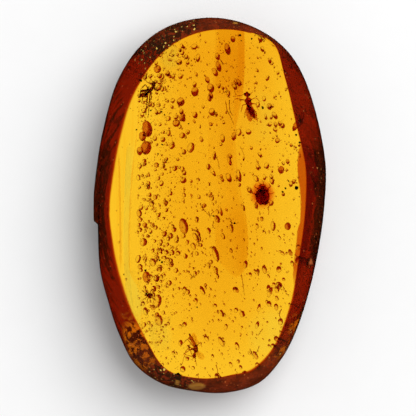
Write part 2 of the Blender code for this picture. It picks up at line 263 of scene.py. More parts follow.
def layer(left: Any, right: Any, low: float, high: float, crest: float, plateau: float = 1.0) -> Form:
    """A flat closed layer between two edges, thickest at its crest and thin at both edges.

    With u from nought at the left edge to one at the right, its half thickness is that of a smooth hump
    that rises up to u = crest and falls after it, times plateau and cut off at one, times a smooth hump
    along the edges.

    Args:
        left: Corners of the left edge, x and y, from top to bottom.
        right: Corners of the right edge, likewise.
        low: Height of its underside where it is thickest.
        high: Height of its top there.
        crest: Where it is thickest, as a share of the way from left to right.
        plateau: How many times too high the hump is before it is cut off.

    Returns:
        The closed form.
    """
    t = np.linspace(0, 1, LAYER_ROWS)
    edges = []
    for edge in (left, right):
        edges.append(catmull_rom(with_ends(edge), 1 + t * (len(edge) - 1), closed=False))
    u = (1 - np.cos(np.linspace(0, np.pi, 25))) / 2
    hump = smooth_step(u / crest) * smooth_step((1 - u) / (1 - crest))
    hump = np.minimum(hump / hump.max() * plateau, 1)
    around = np.concatenate([u, u[-2:0:-1]])
    rise = np.concatenate([hump, -hump[-2:0:-1]])
    ends = smooth_step(np.minimum(t, 1 - t) * 10)
    flat = edges[0][:, None] * (1 - around[None, :, None]) + edges[1][:, None] * around[None, :, None]
    height = (low + high) / 2 + (high - low) / 2 * rise[None, :] * (0.05 + 0.95 * ends[:, None])
    rings = np.concatenate([flat, height[:, :, None]], axis=2)
    return ring_form(rings, rings[0].mean(axis=0), rings[-1].mean(axis=0))


def tube(path: np.ndarray, radii: np.ndarray, sides: int = 8) -> Form:
    """A tube along a path: at each point a circle of its radius square to the path, with round ends.

    Args:
        path: Points, one row each.
        radii: The radius at each point.
        sides: Points round the tube.

    Returns:
        The closed form.
    """
    along = np.gradient(path, axis=0)
    along /= np.linalg.norm(along, axis=1, keepdims=True)
    side = np.cross(along, (0.05, 0.08, 1.0))
    side /= np.linalg.norm(side, axis=1, keepdims=True)
    up = np.cross(side, along)
    v = np.linspace(0, 2 * np.pi, sides, endpoint=False)[None, :, None]
    circle = np.cos(v) * side[:, None, :] + np.sin(v) * up[:, None, :]
    rings = path[:, None, :] + circle * radii[:, None, None]
    return ring_form(rings, path[0] - along[0] * radii[0] * 0.6, path[-1] + along[-1] * radii[-1] * 0.6)


def limb(radius: float, *corners: Point, beads: float = 1.0, end: float = 0.4) -> Form:
    """A jointed leg or a beaded feeler: a tube through its corners.

    The tube thins evenly from radius to end times radius, and swells between its joints as
    0.7 + 0.4 times the root of |sin(pi beads t)|, where t counts the stretches between the corners.

    Args:
        radius: At the first corner.
        corners: The joints.
        beads: Swellings in each stretch.
        end: The last corner's radius as a share of the first's.

    Returns:
        The closed form.
    """
    knots = np.array(corners, float)
    t = np.linspace(0, len(knots) - 1, (len(knots) - 1) * max(6, round(4 * beads)) + 1)
    path = np.stack([np.interp(t, np.arange(len(knots)), knots[:, k]) for k in range(3)], axis=1)
    swell = 0.7 + 0.4 * np.sqrt(np.abs(np.sin(np.pi * beads * t)))
    return tube(path, radius * (1 - (1 - end) * t / t[-1]) * swell, 7)


def bristles(form: Form, count: int, length: float, draw: np.random.Generator) -> Form:
    """Three-sided spikes on random faces of a form.

    A spike's tip stands length above its face's middle, along the normal and a random lean; its base
    is a triangle of radius length / 14 round that middle.

    Args:
        form: What they grow on.
        count: How many.
        length: The longest; others are down to half of it.
        draw: Source of random numbers.

    Returns:
        All the spikes, each closed.
    """
    faces = form.quads[draw.integers(0, len(form.quads), count)]
    a, b, c, d = (form.points[faces[:, k]] for k in range(4))
    middle = (a + b + c + d) / 4
    normal = np.cross(c - a, d - b)
    normal /= np.linalg.norm(normal, axis=1, keepdims=True) + 1e-9
    side = np.cross(normal, (0.3, 0.5, 0.8))
    side /= np.linalg.norm(side, axis=1, keepdims=True)
    lean = draw.normal(0, 0.35, (count, 3)) + normal
    tall = draw.uniform(0.5, 1.0, (count, 1)) * length
    v = np.radians([0, 120, 240])[None, :, None]
    foot = side[:, None] * np.cos(v) + np.cross(normal, side)[:, None] * np.sin(v)
    base = middle[:, None] + foot * length / 14
    points = np.concatenate([base, (middle + lean * tall)[:, None]], axis=1).reshape(-1, 3)
    shape = np.array([[0, 1, 3], [1, 2, 3], [2, 0, 3], [0, 2, 1]])
    triangles = (shape[None] + 4 * np.arange(count)[:, None, None]).reshape(-1, 3)
    return Form(points, np.zeros((0, 4), int), triangles)


def crumpled(form: Form, depth: float, cell: float, seed: int) -> Form:
    """The form with each point shifted by up to depth, by three smooth noises of pitch cell."""
    shifts = [value_noise(form.points, cell, seed + k) for k in range(3)]
    return Form(form.points + depth * np.stack(shifts, axis=1), form.quads, form.triangles, form.values)


def with_ends(corners: Any) -> np.ndarray:
    """The corners, with one more before and after them, each as far off as the next one within."""
    knots = np.asarray(corners, float)
    return np.concatenate([[2 * knots[0] - knots[1]], knots, [2 * knots[-1] - knots[-2]]])


def smooth_path(corners: Sequence[Point], steps: int) -> np.ndarray:
    """The Catmull-Rom curve through the corners, with steps points for each stretch."""
    position = np.linspace(1, len(corners), steps * (len(corners) - 1) + 1)
    return catmull_rom(with_ends(corners), position, closed=False)


def catmull_rom(knots: np.ndarray, position: np.ndarray, closed: bool = True) -> np.ndarray:
    """Points of the Catmull-Rom curve, at positions counted in knots.

    Args:
        knots: The points that the curve runs through, one row each.
        position: Where to read it.
        closed: Whether the curve is a loop.

    Returns:
        One row for each position.
    """
    start = np.floor(position).astype(int)
    if not closed:
        start = np.clip(start, 1, len(knots) - 3)
    t = (position - start)[:, None]
    a, b, c, d = (knots[(start + k) % len(knots)] for k in (-1, 0, 1, 2))
    return 0.5 * (
        2 * b + (c - a) * t + (2 * a - 5 * b + 4 * c - d) * t**2 + (3 * b - a - 3 * c + d) * t**3
    )


def smooth_step(t: np.ndarray) -> np.ndarray:
    """Nought below 0, one above 1, and 3tt - 2ttt between."""
    t = np.clip(t, 0, 1)
    return t * t * (3 - 2 * t)


def value_noise(points: np.ndarray, cell: float, seed: int) -> np.ndarray:
    """Smooth noise from -1 to 1: random numbers on a cubic lattice, blended by smooth steps.

    Args:
        points: Where to read it, one row each.
        cell: The lattice's pitch.
        seed: Picks the random numbers.

    Returns:
        One number for each point.
    """
    table = np.random.default_rng(seed).uniform(-1, 1, 4093)
    place = points / cell
    base = np.floor(place).astype(int)
    t = smooth_step(place - base)
    total = np.zeros(len(points))
    for corner in itertools.product((0, 1), repeat=3):
        number = ((base + corner) @ np.array([73, 1931, 3571])) % len(table)
        total += table[number] * np.prod(np.where(corner, t, 1 - t), axis=1)
    return total


# ---- shaders


class Socket:
    """A number in a material's nodes that takes part in Python expressions."""

    def __init__(self, shader: "Shader", link: bpy.types.NodeSocket) -> None:
        """Wraps the output socket link of one of the shader's nodes."""
        self.shader = shader
        self.link = link

    def _math(self, operation: str, *numbers: Any) -> "Socket":
        """Adds a Math node and wraps its result."""
        return self.shader.value("ShaderNodeMath", {"operation": operation}, dict(enumerate(numbers)))

    def __add__(self, other: Any) -> "Socket":
        """self + other."""
        return self._math("ADD", self, other)

    __radd__ = __add__

    def __mul__(self, other: Any) -> "Socket":
        """self * other."""
        return self._math("MULTIPLY", self, other)

    __rmul__ = __mul__

    def __sub__(self, other: Any) -> "Socket":
        """self - other."""
        return self._math("SUBTRACT", self, other)

    def __rsub__(self, other: Any) -> "Socket":
        """other - self."""
        return self._math("SUBTRACT", other, self)

    def at_most(self, other: Any) -> "Socket":
        """The smaller of the two."""
        return self._math("MINIMUM", self, other)

    def at_least(self, other: Any) -> "Socket":
        """The larger of the two."""
        return self._math("MAXIMUM", self, other)

    def ramp(self, low: float, high: float) -> "Socket":
        """Nought below low, one above high, and a smooth step between."""
        settings = {"interpolation_type": "SMOOTHSTEP"}
        return self.shader.value("ShaderNodeMapRange", settings, {"Value": self, 1: low, 2: high})


class Shader:
    """A material under construction."""

    def __init__(self, name: str) -> None:
        """Starts an empty material."""
        self.material = bpy.data.materials.new(name)
        self.material.use_nodes = True
        self.tree = self.material.node_tree
        self.tree.nodes.clear()
        self.output = self.tree.nodes.new("ShaderNodeOutputMaterial")

    def node(self, kind: str, settings: dict[str, Any], inputs: dict[Any, Any]) -> bpy.types.Node:
        """Adds a node.

        Args:
            kind: The node's type.
            settings: Its properties, set first.
            inputs: Values or links for its input sockets, by name or number.

        Returns:
            The node.
        """
        node = self.tree.nodes.new(kind)
        for name, setting in settings.items():
            setattr(node, name, setting)
        for key, given in inputs.items():
            if isinstance(given, Socket):
                self.tree.links.new(given.link, node.inputs[key])
            elif isinstance(given, bpy.types.Node):
                self.tree.links.new(given.outputs[0], node.inputs[key])
            else:
                node.inputs[key].default_value = given
        return node

    def value(self, kind: str, settings: dict[str, Any], inputs: dict[Any, Any], output: Any = 0) -> Socket:
        """Adds a node and wraps one of its outputs."""
        return Socket(self, self.node(kind, settings, inputs).outputs[output])

    def place(self) -> Socket:
        """The point's Object coordinates, in metres."""
        return self.value("ShaderNodeTexCoord", {}, {}, "Object")

    def axis(self, name: str) -> Socket:
        """One of the point's Object coordinates, X, Y or Z, in millimetres."""
        return self.value("ShaderNodeSeparateXYZ", {}, {0: self.place()}, name) * (1 / MM)

    def attribute(self, name: str) -> Socket:
        """A number that the piece's points carry."""
        settings = {"attribute_type": "GEOMETRY", "attribute_name": name}
        return self.value("ShaderNodeAttribute", settings, {}, "Fac")

    def stretched(self, scale: Point) -> Socket:
        """The Object coordinates multiplied along each axis."""
        inputs = {"Vector": self.place(), "Scale": scale}
        return self.value("ShaderNodeMapping", {"vector_type": "POINT"}, inputs)

    def noise(self, pitch: float, detail: float, drawn: Point = (1, 1, 1), twist: float = 0) -> Socket:
        """Noise from 0 to 1 with features of about pitch millimetres, the coordinates times drawn."""
        inputs = {"Scale": 1 / (pitch * MM), "Detail": detail, "Distortion": twist}
        return self.value("ShaderNodeTexNoise", {}, {"Vector": self.stretched(drawn), **inputs}, "Fac")

    def along_rim(self, pitch: float, detail: float) -> Socket:
        """Noise drawn out along the slab's outline, read from the piece's own rim coordinates."""
        place = self.value("ShaderNodeCombineXYZ", {}, dict(enumerate(map(self.attribute, RIM_COORDINATES))))
        inputs = {"Vector": place, "Scale": 1 / pitch, "Detail": detail}
        return self.value("ShaderNodeTexNoise", {}, inputs, "Fac")

    def spots(self, pitch: float, drawn: Point = (1, 1, 1)) -> Socket:
        """The distance to the nearest of scattered points, as a share of their pitch."""
        inputs = {"Vector": self.stretched(drawn), "Scale": 1 / (pitch * MM)}
        return self.value("ShaderNodeTexVoronoi", {"feature": "F1"}, inputs, "Distance")

    def mix(self, share: Any, first: Any, second: Any) -> Socket:
        """The colour first, changed to second by a share from 0 to 1."""
        colours = [c if isinstance(c, Socket) else (*c, 1.0) for c in (first, second)]
        inputs = {0: share, 6: colours[0], 7: colours[1]}
        return self.value("ShaderNodeMix", {"data_type": "RGBA"}, inputs, 2)

    def times(self, first: Any, second: Any) -> Socket:
        """The product of two colours."""
        settings = {"operation": "MULTIPLY"}
        return self.value("ShaderNodeVectorMath", settings, {0: first, 1: second}, "Vector")

    def dimmed(self, colour: Any, share: Any, passing: Colour) -> Socket:
        """The colour, with a share of it cut down to what passes."""
        return self.times(colour, self.mix(share, WHITE, passing))

    def across(self, path: Path) -> Socket:
        """How far right of a curve the point lies, in millimetres.

        Args:
            path: x and y of points that the curve runs through; it gives x as a smooth function of y.

        Returns:
            The distance, negative on the left.
        """
        share = 0.5 / CURVE_REACH
        node = self.node("ShaderNodeFloatCurve", {}, {"Value": self.axis("Y") * share + 0.5})
        curve = node.mapping.curves[0]
        spots = sorted((y / CURVE_REACH / 2 + 0.5, x / CURVE_REACH / 2 + 0.5) for x, y in path)
        curve.points[0].location, curve.points[1].location = spots[0], spots[-1]
        for along, number in spots[1:-1]:
            curve.points.new(along, number)
        node.mapping.update()
        return (self.axis("X") * share + 0.5 - Socket(self, node.outputs[0])) * (1 / share)

    def between(self, low: float, high: float, soft: float) -> Socket:
        """One where y in millimetres lies between two values, falling off over soft at each."""
        y = self.axis("Y")
        return y.ramp(low - soft, low + soft) * (1 - y.ramp(high - soft, high + soft))

    def patch(self, x: float, y: float, half_x: float, half_y: float) -> Socket:
        """One in the middle of an oval, nought outside it, falling off smoothly between."""
        across = (self.axis("X") - x) * (1 / half_x)
        along = (self.axis("Y") - y) * (1 / half_y)
        return 1 - (across * across + along * along).ramp(0.15, 1.0)

    def bump(self, height: Socket, depth: float) -> Socket:
        """A normal for a relief of depth millimetres."""
        inputs = {"Height": height, "Distance": depth * MM, "Strength": 1.0}
        return self.value("ShaderNodeBump", {}, inputs, "Normal")

    def principled(self, inputs: dict[str, Any]) -> bpy.types.Node:
        """Adds a Principled BSDF; plain colours may have three numbers."""
        full = {k: (*v, 1.0) if isinstance(v, tuple) and len(v) == 3 else v for k, v in inputs.items()}
        return self.node("ShaderNodeBsdfPrincipled", {}, full)

    def surface(self, node: bpy.types.Node) -> None:
        """Links a shader node to the material's surface."""
        self.tree.links.new(node.outputs[0], self.output.inputs["Surface"])

    def absorbing(self, colour: Colour, density: float) -> None:
        """Gives the material's inside an even absorption, with density a metre."""
        inputs = {"Color": (*colour, 1.0), "Density": density}
        node = self.node("ShaderNodeVolumeAbsorption", {}, inputs)
        self.tree.links.new(node.outputs[0], self.output.inputs["Volume"])


@dataclass(frozen=True)
class FlowTints:
    """The tints of the layers in which the resin ran, read at the slab's back.

    Each path is a run of points, x and y, from top to bottom.

    Attributes:
        base: What passes everywhere but in the pale places.
        pale: What passes there.
        main: What passes the main flow.
        centre: What passes its middle.
        tongue: What passes the darker tongue.
        stem: What passes the dark strip along its upper part.
        line: What passes a thin flow line.
        streak: What passes a streak.
        band: What passes the orange band over the back's bevel: painted shade where light comes bent through
            the bevel.
        main_left: The main flow's left edge.
        tongue_left: The tongue's left edge.
        tongue_right: The tongue's right edge.
        stem_left: The dark strip's left edge.
        painted_band_left: The painted shade band's left edge.
        left_line: A faint line left of the main flow.
        pale_left: The pale strip's left edge.
        step: A faint edge in the upper part.
        pale_patches: Middle and half sizes of pale patches.
    """

    base: Colour = (1.0, 0.89, 0.53)
    pale: Colour = (0.96, 1.0, 1.0)
    main: Colour = (0.992, 0.985, 0.95)
    centre: Colour = (0.965, 0.86, 0.62)
    tongue: Colour = (0.895, 0.725, 0.33)
    stem: Colour = (0.973, 0.914, 0.778)
    line: Colour = (0.80, 0.52, 0.30)
    streak: Colour = (0.97, 0.87, 0.65)
    band: Colour = (0.60, 0.19, 0.11)
    main_left: Path = (
        (-6.3, 15.6), (-6.8, 13.2), (-6.75, 8.5), (-7.15, 5.0), (-7.5, 1.0), (-7.64, -4.3), (-7.55, -6.4),
        (-6.8, -7.9), (-6.52, -9.2), (-6.5, -12.0), (-6.3, -14.5),
    )
    tongue_left: Path = (
        (0.5, 17.3), (0.4, 13.0), (0.0, 9.5), (-0.2, 5.0), (0.1, 0.5), (0.4, -2.0), (0.9, -5.2), (1.9, -6.5),
        (2.5, -6.95),
    )
    tongue_right: Path = (
        (3.25, 17.3), (3.3, 14.0), (3.15, 11.0), (2.45, 7.2), (2.5, 4.0), (2.85, 1.4), (3.3, -0.5),
        (3.55, -2.5), (3.5, -5.0), (3.2, -6.2), (2.5, -6.95),
    )
    stem_left: Path = ((2.5, 17.3), (2.65, 14.0), (2.35, 11.0), (2.25, 8.0), (2.3, 5.0))
    painted_band_left: Path = (
        (8.9, 7.4), (8.6, 6.1), (8.3, 4.5), (8.3, 2.9), (8.5, 1.4), (8.55, 0.2), (8.5, -1.4), (8.3, -2.2),
        (8.1, -4.0), (7.9, -5.5), (7.85, -7.0), (8.2, -8.5),
    )
    left_line: Path = ((-8.6, 6.0), (-8.5, 0.0), (-8.42, -6.0))
    pale_left: Path = (
        (-7.5, 7.0), (-7.95, 3.5), (-8.1, 0.0), (-8.15, -5.0), (-7.9, -8.0), (-7.2, -11.0),
    )
    step: Path = ((-2.9, 16.0), (-2.82, 12.0), (-2.9, 8.0))
    pale_patches: Spots = (
        (-3.7, 14.2, 1.2, 1.4), (-4.9, -12.4, 1.6, 2.0), (-6.9, -9.4, 0.9, 1.8), (4.4, 8.4, 2.0, 3.4),
        (5.6, -12.2, 2.4, 2.8),
    )

    def build(self, shader: Shader) -> Socket:
        """Multiplies what passes each layer, the layers bounded by the curves.

        Args:
            shader: The amber's material.

        Returns:
            The colour that passes the back.
        """
        fine = shader.noise(0.5, 3.0, drawn=(1.0, 0.05, 1.0))
        clouds = shader.noise(3.0, 3.0, drawn=(1.0, 0.5, 1.0))
        y = shader.axis("Y")
        main = shader.across(self.main_left).ramp(-0.05, 0.07)
        pale = shader.across(self.pale_left).ramp(-0.08, 0.12) * (1 - main) * shader.between(-11.0, 5.5, 1.5)
        pale = pale * (fine.ramp(0.3, 0.6) * 0.35 + 0.65)
        for spot in self.pale_patches:
            pale = pale.at_least(shader.patch(*spot) * (clouds.ramp(0.3, 0.6) * 0.6 + 0.2))
        left = shader.across(self.tongue_left)
        tongue = left.ramp(-0.1, 0.15) * (1 - shader.across(self.tongue_right).ramp(-0.06, 0.05))
        tongue = tongue * shader.between(-6.95, 19.0, 0.02)
        deep = y.ramp(9.5, 12.0).at_least(1 - y.ramp(-2.0, 1.0))
        tone = (left.ramp(0.0, 4.0) * 0.5 + clouds * 0.5 + 0.1) * (deep * 0.75 + 0.4)
        tone = tone.at_least(left.ramp(0.0, 0.4) * y.ramp(9.0, 12.0) * 0.8)
        stem = shader.across(self.stem_left).ramp(-0.1, 0.2) * shader.between(6.5, 19.0, 2.0)
        step = shader.across(self.step).ramp(-0.03, 0.08) * shader.between(7.5, 15.5, 1.0)
        film = shader.attribute("film")
        # painted shade: a darker orange band over the back's wide bevel
        band = shader.across(self.painted_band_left).ramp(-0.05, 0.06) * shader.between(-9.0, 7.5, 0.4)
        colour = shader.mix(pale * 0.9, self.base, self.pale)
        for share, passing in (
            (fine.ramp(0.5, 0.75) * (1 - main) * 0.8, self.streak),
            (self.stroke(shader, self.left_line, 0.1, -6.0, 5.0) * 0.35, self.line),
            (self.stroke(shader, self.main_left, 0.07, -4.5, 4.0) * 0.35, self.line),
            (main * (clouds.ramp(0.3, 0.7) * 0.5 + 0.75), self.main),
            (shader.patch(0.6, 4.0, 6.5, 22.0), self.centre),
            (y.ramp(10.0, 17.0) * main, self.centre),
            (step * 0.35, self.streak),
            (tongue * tone, self.tongue),
            (self.stroke(shader, self.tongue_right, 0.06, -6.6, 17.0) * 0.35, self.line),
            (stem * tongue, self.stem),
            # the painted shade band over the bevel, and a line along its edge
            (film * band, self.band),
            (film * self.stroke(shader, self.painted_band_left, 0.06, -8.5, 7.0) * 0.5, self.line),
        ):
            colour = shader.dimmed(colour, share, passing)
        return colour

    def stroke(self, shader: Shader, path: Path, width: float, low: float, high: float) -> Socket:
        """One on a thin line along a path between two heights in y, nought beside it."""
        off = shader.across(path)
        return (1 - (off * off).ramp(0.0, width**2)) * shader.between(low, high, 0.6)


@dataclass(frozen=True)
class AmberFinish:
    """Polished clear amber with a dark crust on its rounded sides.

    The piece's points say how thick the crust is (crust), how far out on the side they are (outer), how
    close they are to the slab's two ends (end), where the crust crumbles into black and golden bits, which
    are partly painted glints (crumb), where it is mottled with orange (tiger), where only a film is left
    (film) and where something pale lies in it (pale).

    Attributes:
        clear: What the body lets through; the rest is absorbed.
        density: How strongly it absorbs, a metre.
        refraction: Index of refraction.
        flat_top: Height below which the layers' tints are read.
        belt_y: y of the middle of the crust's dark belts at the slab's sides.
        belt: How far the belts reach from there at full strength.
        flows: The tints of its layers.
        edge_tint: What passes the crust at its thin edge, on one crossing as the layers' tints.
        deep_tint: What passes the crust where it is thick.
        end_tint: What passes it at the slab's ends.
        glow_tint: What passes the light patches where it is mottled.
        black_tint: What passes its darkest streaks.
        brown: The crust's own colour.
        end_brown: Its colour at the slab's ends.
        rust: The light specks in it, which partly stand in for glints: painted highlights.
        black: The dark brown in the crumbled patches.
        gold_and_glint: The flecks in them, gold in colour and partly painted glints: painted highlights.
        olive: The pale inclusions.
    """

    clear: Colour = (0.929, 0.798, 0.0)
    density: float = 490.0
    refraction: float = 1.54
    flat_top: float = 2.6
    belt_y: float = 0.5
    belt: float = 3.4
    flows: FlowTints = FlowTints()
    edge_tint: Colour = (0.45, 0.068, 0.04)
    deep_tint: Colour = (0.238, 0.013, 0.012)
    end_tint: Colour = (0.22, 0.030, 0.015)
    glow_tint: Colour = (0.76, 0.29, 0.12)
    black_tint: Colour = (0.036, 0.006, 0.006)
    brown: Colour = (0.050, 0.013, 0.003)
    end_brown: Colour = (0.18, 0.023, 0.0035)
    rust: Colour = (0.42, 0.10, 0.02)
    black: Colour = (0.026, 0.008, 0.002)
    gold_and_glint: Colour = (0.80, 0.52, 0.10)
    olive: Colour = (0.40, 0.18, 0.018)

    def build(self) -> bpy.types.Material:
        """Mixes clear amber with a brown crust by the piece's own values and by noise."""
        shader = Shader("amber")
        names = ("crust", "outer", "end", "crumb", "tiger", "film", "pale")
        crust, outer, end, crumb, tiger, film, pale = map(shader.attribute, names)
        patches = shader.noise(1.4, 4.0, twist=0.6)
        grains = shader.noise(0.25, 3.0)
        streaks = shader.along_rim(0.45, 4.0)
        fibres = shader.along_rim(0.16, 3.0)
        depth = (crust * 1.1 + (patches - 0.5) * 0.35 * crust).ramp(0.0, 1.0) * (1 - film)
        off_middle = shader.axis("Y") - self.belt_y
        belt = 1 - (off_middle * off_middle).ramp(self.belt**2, (2.1 * self.belt) ** 2)
        grain = (streaks - 0.5) * 3.0 + (fibres - 0.5) * 2.2 + (patches - 0.5) * 1.2
        dark = (grain + outer * (belt * 0.85 + 0.25)).ramp(0.1, 0.85)
        # fine lighter streaks along the rim, where the dark is cut back: partly painted glints
        dark = dark * (1 - fibres.ramp(0.50, 0.62) * grains.ramp(0.42, 0.58) * 0.6)
        dark = dark.at_least(outer.ramp(0.55, 1.0) * belt * shader.axis("X").ramp(-2.0, 2.0) * 0.9)
        broken = (crumb * 0.6 + (grains - 0.5) * 2.6 + (patches - 0.5) * 0.8).ramp(0.30, 0.42)
        broken = broken * crumb.ramp(0.1, 0.4) * crust.ramp(0.02, 0.2)
        spots = shader.spots(0.4, (1.0, 0.8, 1.0))
        # gold flecks in the crumbled patches, partly painted glints: painted highlights
        flecks_and_glints = spots.ramp(0.34, 0.2) * grains.ramp(0.53, 0.60)
        flecks_and_glints = flecks_and_glints * crumb.ramp(0.08, 0.4) * crust.ramp(0.1, 0.4)
        # light specks along the rim's fibres, partly painted glints: painted highlights
        specks = spots.ramp(0.24, 0.12) * (fibres + end * 0.05).ramp(0.51, 0.58) * depth.ramp(0.3, 0.8)
        cells = shader.noise(0.62, 2.5, twist=0.4)
        glow = cells.ramp(0.45, 0.58) * tiger.ramp(0.1, 0.4) * (1 - (fibres - 0.5).ramp(0.0, 0.2) * 0.5)
        low = 1 - shader.axis("Z").ramp(0.4 * self.flat_top, self.flat_top)
        dark = dark.at_least(tiger.ramp(0.1, 0.5) * 0.8)
        tint = shader.mix(low, WHITE, self.flows.build(shader))
        for share, passing in (
            (depth.ramp(0.0, 0.4), self.edge_tint),
            (depth.ramp(0.25, 0.8), shader.mix(end, self.deep_tint, self.end_tint)),
            (dark * depth.ramp(0.4, 0.9), self.black_tint),
            (glow * depth.ramp(0.2, 0.6), self.glow_tint),
        ):
            tint = shader.mix(share, tint, passing)
        clear = shader.principled({
            "Base Color": shader.times(tint, tint),
            "Roughness": depth * 0.12 + 0.012,
            "IOR": self.refraction,
            "Transmission Weight": 1.0,
            "Normal": shader.bump(patches * 0.5 + grains * 0.3 + streaks * 0.3, 0.02),
        })
        mottled = (patches - 0.5) * 2.2 + (grains - 0.5) * 1.4 + 0.5
        stone = shader.mix(end, self.rust, self.olive)
        stone = shader.mix(streaks.ramp(0.4, 0.7) * 0.8, stone, self.end_brown)
        colour = shader.mix(end, self.brown, self.end_brown)
        for share, added in (
            (mottled.ramp(0.1, 0.8) * 0.7, self.black),
            (specks * 0.8, self.rust),
            (broken, self.black),
            (flecks_and_glints, self.gold_and_glint),
            (pale, stone),
        ):
            colour = shader.mix(share, colour, added)
        rind = shader.principled({
            "Base Color": colour,
            "Roughness": grains * 0.2 + 0.3,
            "IOR": self.refraction,
            "Specular IOR Level": 0.1,
            "Normal": shader.bump(grains, 0.03),
        })
        cover = depth.ramp(0.35, 1.0) * (end * 0.5 + 0.2) + broken * 0.55 + flecks_and_glints + specks * 0.6 + pale
        shader.surface(shader.node("ShaderNodeMixShader", {}, {0: cover.at_most(0.92), 1: clear, 2: rind}))
        shader.absorbing(self.clear, self.density)
        return shader.material


@dataclass(frozen=True)
class BubbleFinish:
    """The inner wall of a gas bubble: light bends out of the amber and may be turned back.

    Attributes:
        refraction: Air's index over amber's.
        stain: What passes the wall of a bubble that is stained all over.
        painted_crescent: What passes the crescent on one side of the wall: painted shade, standing in for the
            dark edge that light bent by a bubble shows.
    """

    refraction: float = 1 / 1.07
    stain: Colour = (0.60, 0.22, 0.15)
    painted_crescent: Colour = (0.28, 0.024, 0.03)

    def build(self) -> bpy.types.Material:
        """A clear wall, stained where the piece's points say so, and darkened on one side by a crescent of
        painted shade.
        """
        shader = Shader("bubble_wall")
        haze = shader.noise(0.4, 2.0)
        stained = (shader.attribute("stain") * (haze * 0.6 + 0.6) + 0.06).at_most(1.0)
        colour = shader.mix(stained, WHITE, self.stain)
        shader.surface(shader.principled({
            # painted shade: a dark crescent on one side of each bubble's wall
            "Base Color": shader.mix(shader.attribute("painted_crescent"), colour, self.painted_crescent),
            "Roughness": haze.ramp(0.45, 0.8) * 0.05 + 0.01,
            "IOR": self.refraction,
            "Transmission Weight": 1.0,
        }))
        return shader.material


@dataclass(frozen=True)
class LayerFinish:
    """Resin inside the amber that absorbs more and bends light hardly more: a flow layer or a stain.

    Attributes:
        name: The material's name.
        clear: What it lets through.
        density: How strongly it absorbs, a metre.
        streak: What passes its surface where it is streaked.
        patterns: Pitch, detail, factor along y, two thresholds and weight of each noise in the streaks.
        refraction: Its index over the amber's round it.
    """

    name: str
    clear: Colour
    density: float
    streak: Colour
    patterns: Spots = ((0.9, 3.0, 0.1, 0.45, 0.75, 0.6), (2.5, 2.0, 1.0, 0.4, 0.7, 0.4))
    refraction: float = 1.004

    def build(self) -> bpy.types.Material:
        """A clear body with faint streaks."""
        shader = Shader(self.name)
        share = sum(
            shader.noise(pitch, detail, (1.0, along, 1.0)).ramp(low, high) * weight
            for pitch, detail, along, low, high, weight in self.patterns
        )
        shader.surface(shader.principled({
            "Base Color": shader.mix(share, WHITE, self.streak),
            "Roughness": 0.0,
            "IOR": self.refraction,
            "Transmission Weight": 1.0,
        }))
        shader.absorbing(self.clear, self.density)
        return shader.material


@dataclass(frozen=True)
class HazeFinish:
    """A thin milky veil in the resin.

    Attributes:
        colour: The veil's colour.
        cover: How much of what is behind it the veil hides where it is thickest.
    """

    colour: Colour
    cover: float

    def build(self) -> bpy.types.Material:
        """A pale film that is densest facing up, broken by streaks."""
        shader = Shader("haze")
        streaks = shader.noise(0.5, 3.0, drawn=(1.0, 0.2, 1.0))
        veil = shader.attribute("veil") * (streaks.ramp(0.25, 0.7) * 0.7 + 0.3)
        shader.surface(shader.principled({
            "Base Color": shader.mix(streaks, self.colour, tuple(min(c * 1.3, 1.0) for c in self.colour)),
            "Roughness": 0.8,
            "Specular IOR Level": 0.0,
            "Alpha": veil * self.cover,
        }))
        return shader.material


@dataclass(frozen=True)
class ChitinFinish:
    """Insect cuticle: satin, mottled, and redder where it is thin.

    Attributes:
        name: The material's name.
        dark: Its colour in the folds and dark patches.
        light: Its colour elsewhere.
        roughness: How satin it is.
        passing: The share of the light that passes into it.
    """

    name: str
    dark: Colour
    light: Colour
    roughness: float = 0.35
    passing: float = 0.93

    def build(self) -> bpy.types.Material:
        """Two browns mixed by coarse and fine noise, with pits for a bump."""
        shader = Shader(self.name)
        patches = shader.noise(0.35, 3.0)
        pits = shader.spots(0.07)
        colour = shader.mix(patches.ramp(0.38, 0.62), self.dark, self.light)
        shader.surface(shader.principled({
            "Base Color": shader.mix(pits.ramp(0.1, 0.5) * 0.4, colour, self.dark),
            "Roughness": patches * 0.25 + (self.roughness - 0.1),
            "Specular IOR Level": 0.2,
            "IOR": 1.05,
            "Transmission Weight": self.passing,
            "Normal": shader.bump(pits, 0.006),
        }))
        return shader.material


@dataclass(frozen=True)
class WingFinish:
    """A thin wing: a film that tints what is behind it.

    Attributes:
        name: The material's name.
        tint: What passes the film.
    """

    name: str
    tint: Colour

    def build(self) -> bpy.types.Material:
        """A film whose tint changes along the wing."""
        shader = Shader(self.name)
        veil = shader.noise(0.3, 3.0, drawn=(1.0, 0.5, 1.0))
        shader.surface(shader.principled({
            "Base Color": shader.mix(veil.ramp(0.25, 0.7), tuple(c**0.5 for c in self.tint), self.tint),
            "Roughness": 0.1,
            "IOR": 1.01,
            "Transmission Weight": 1.0,
        }))
        return shader.material


# ---- the slab


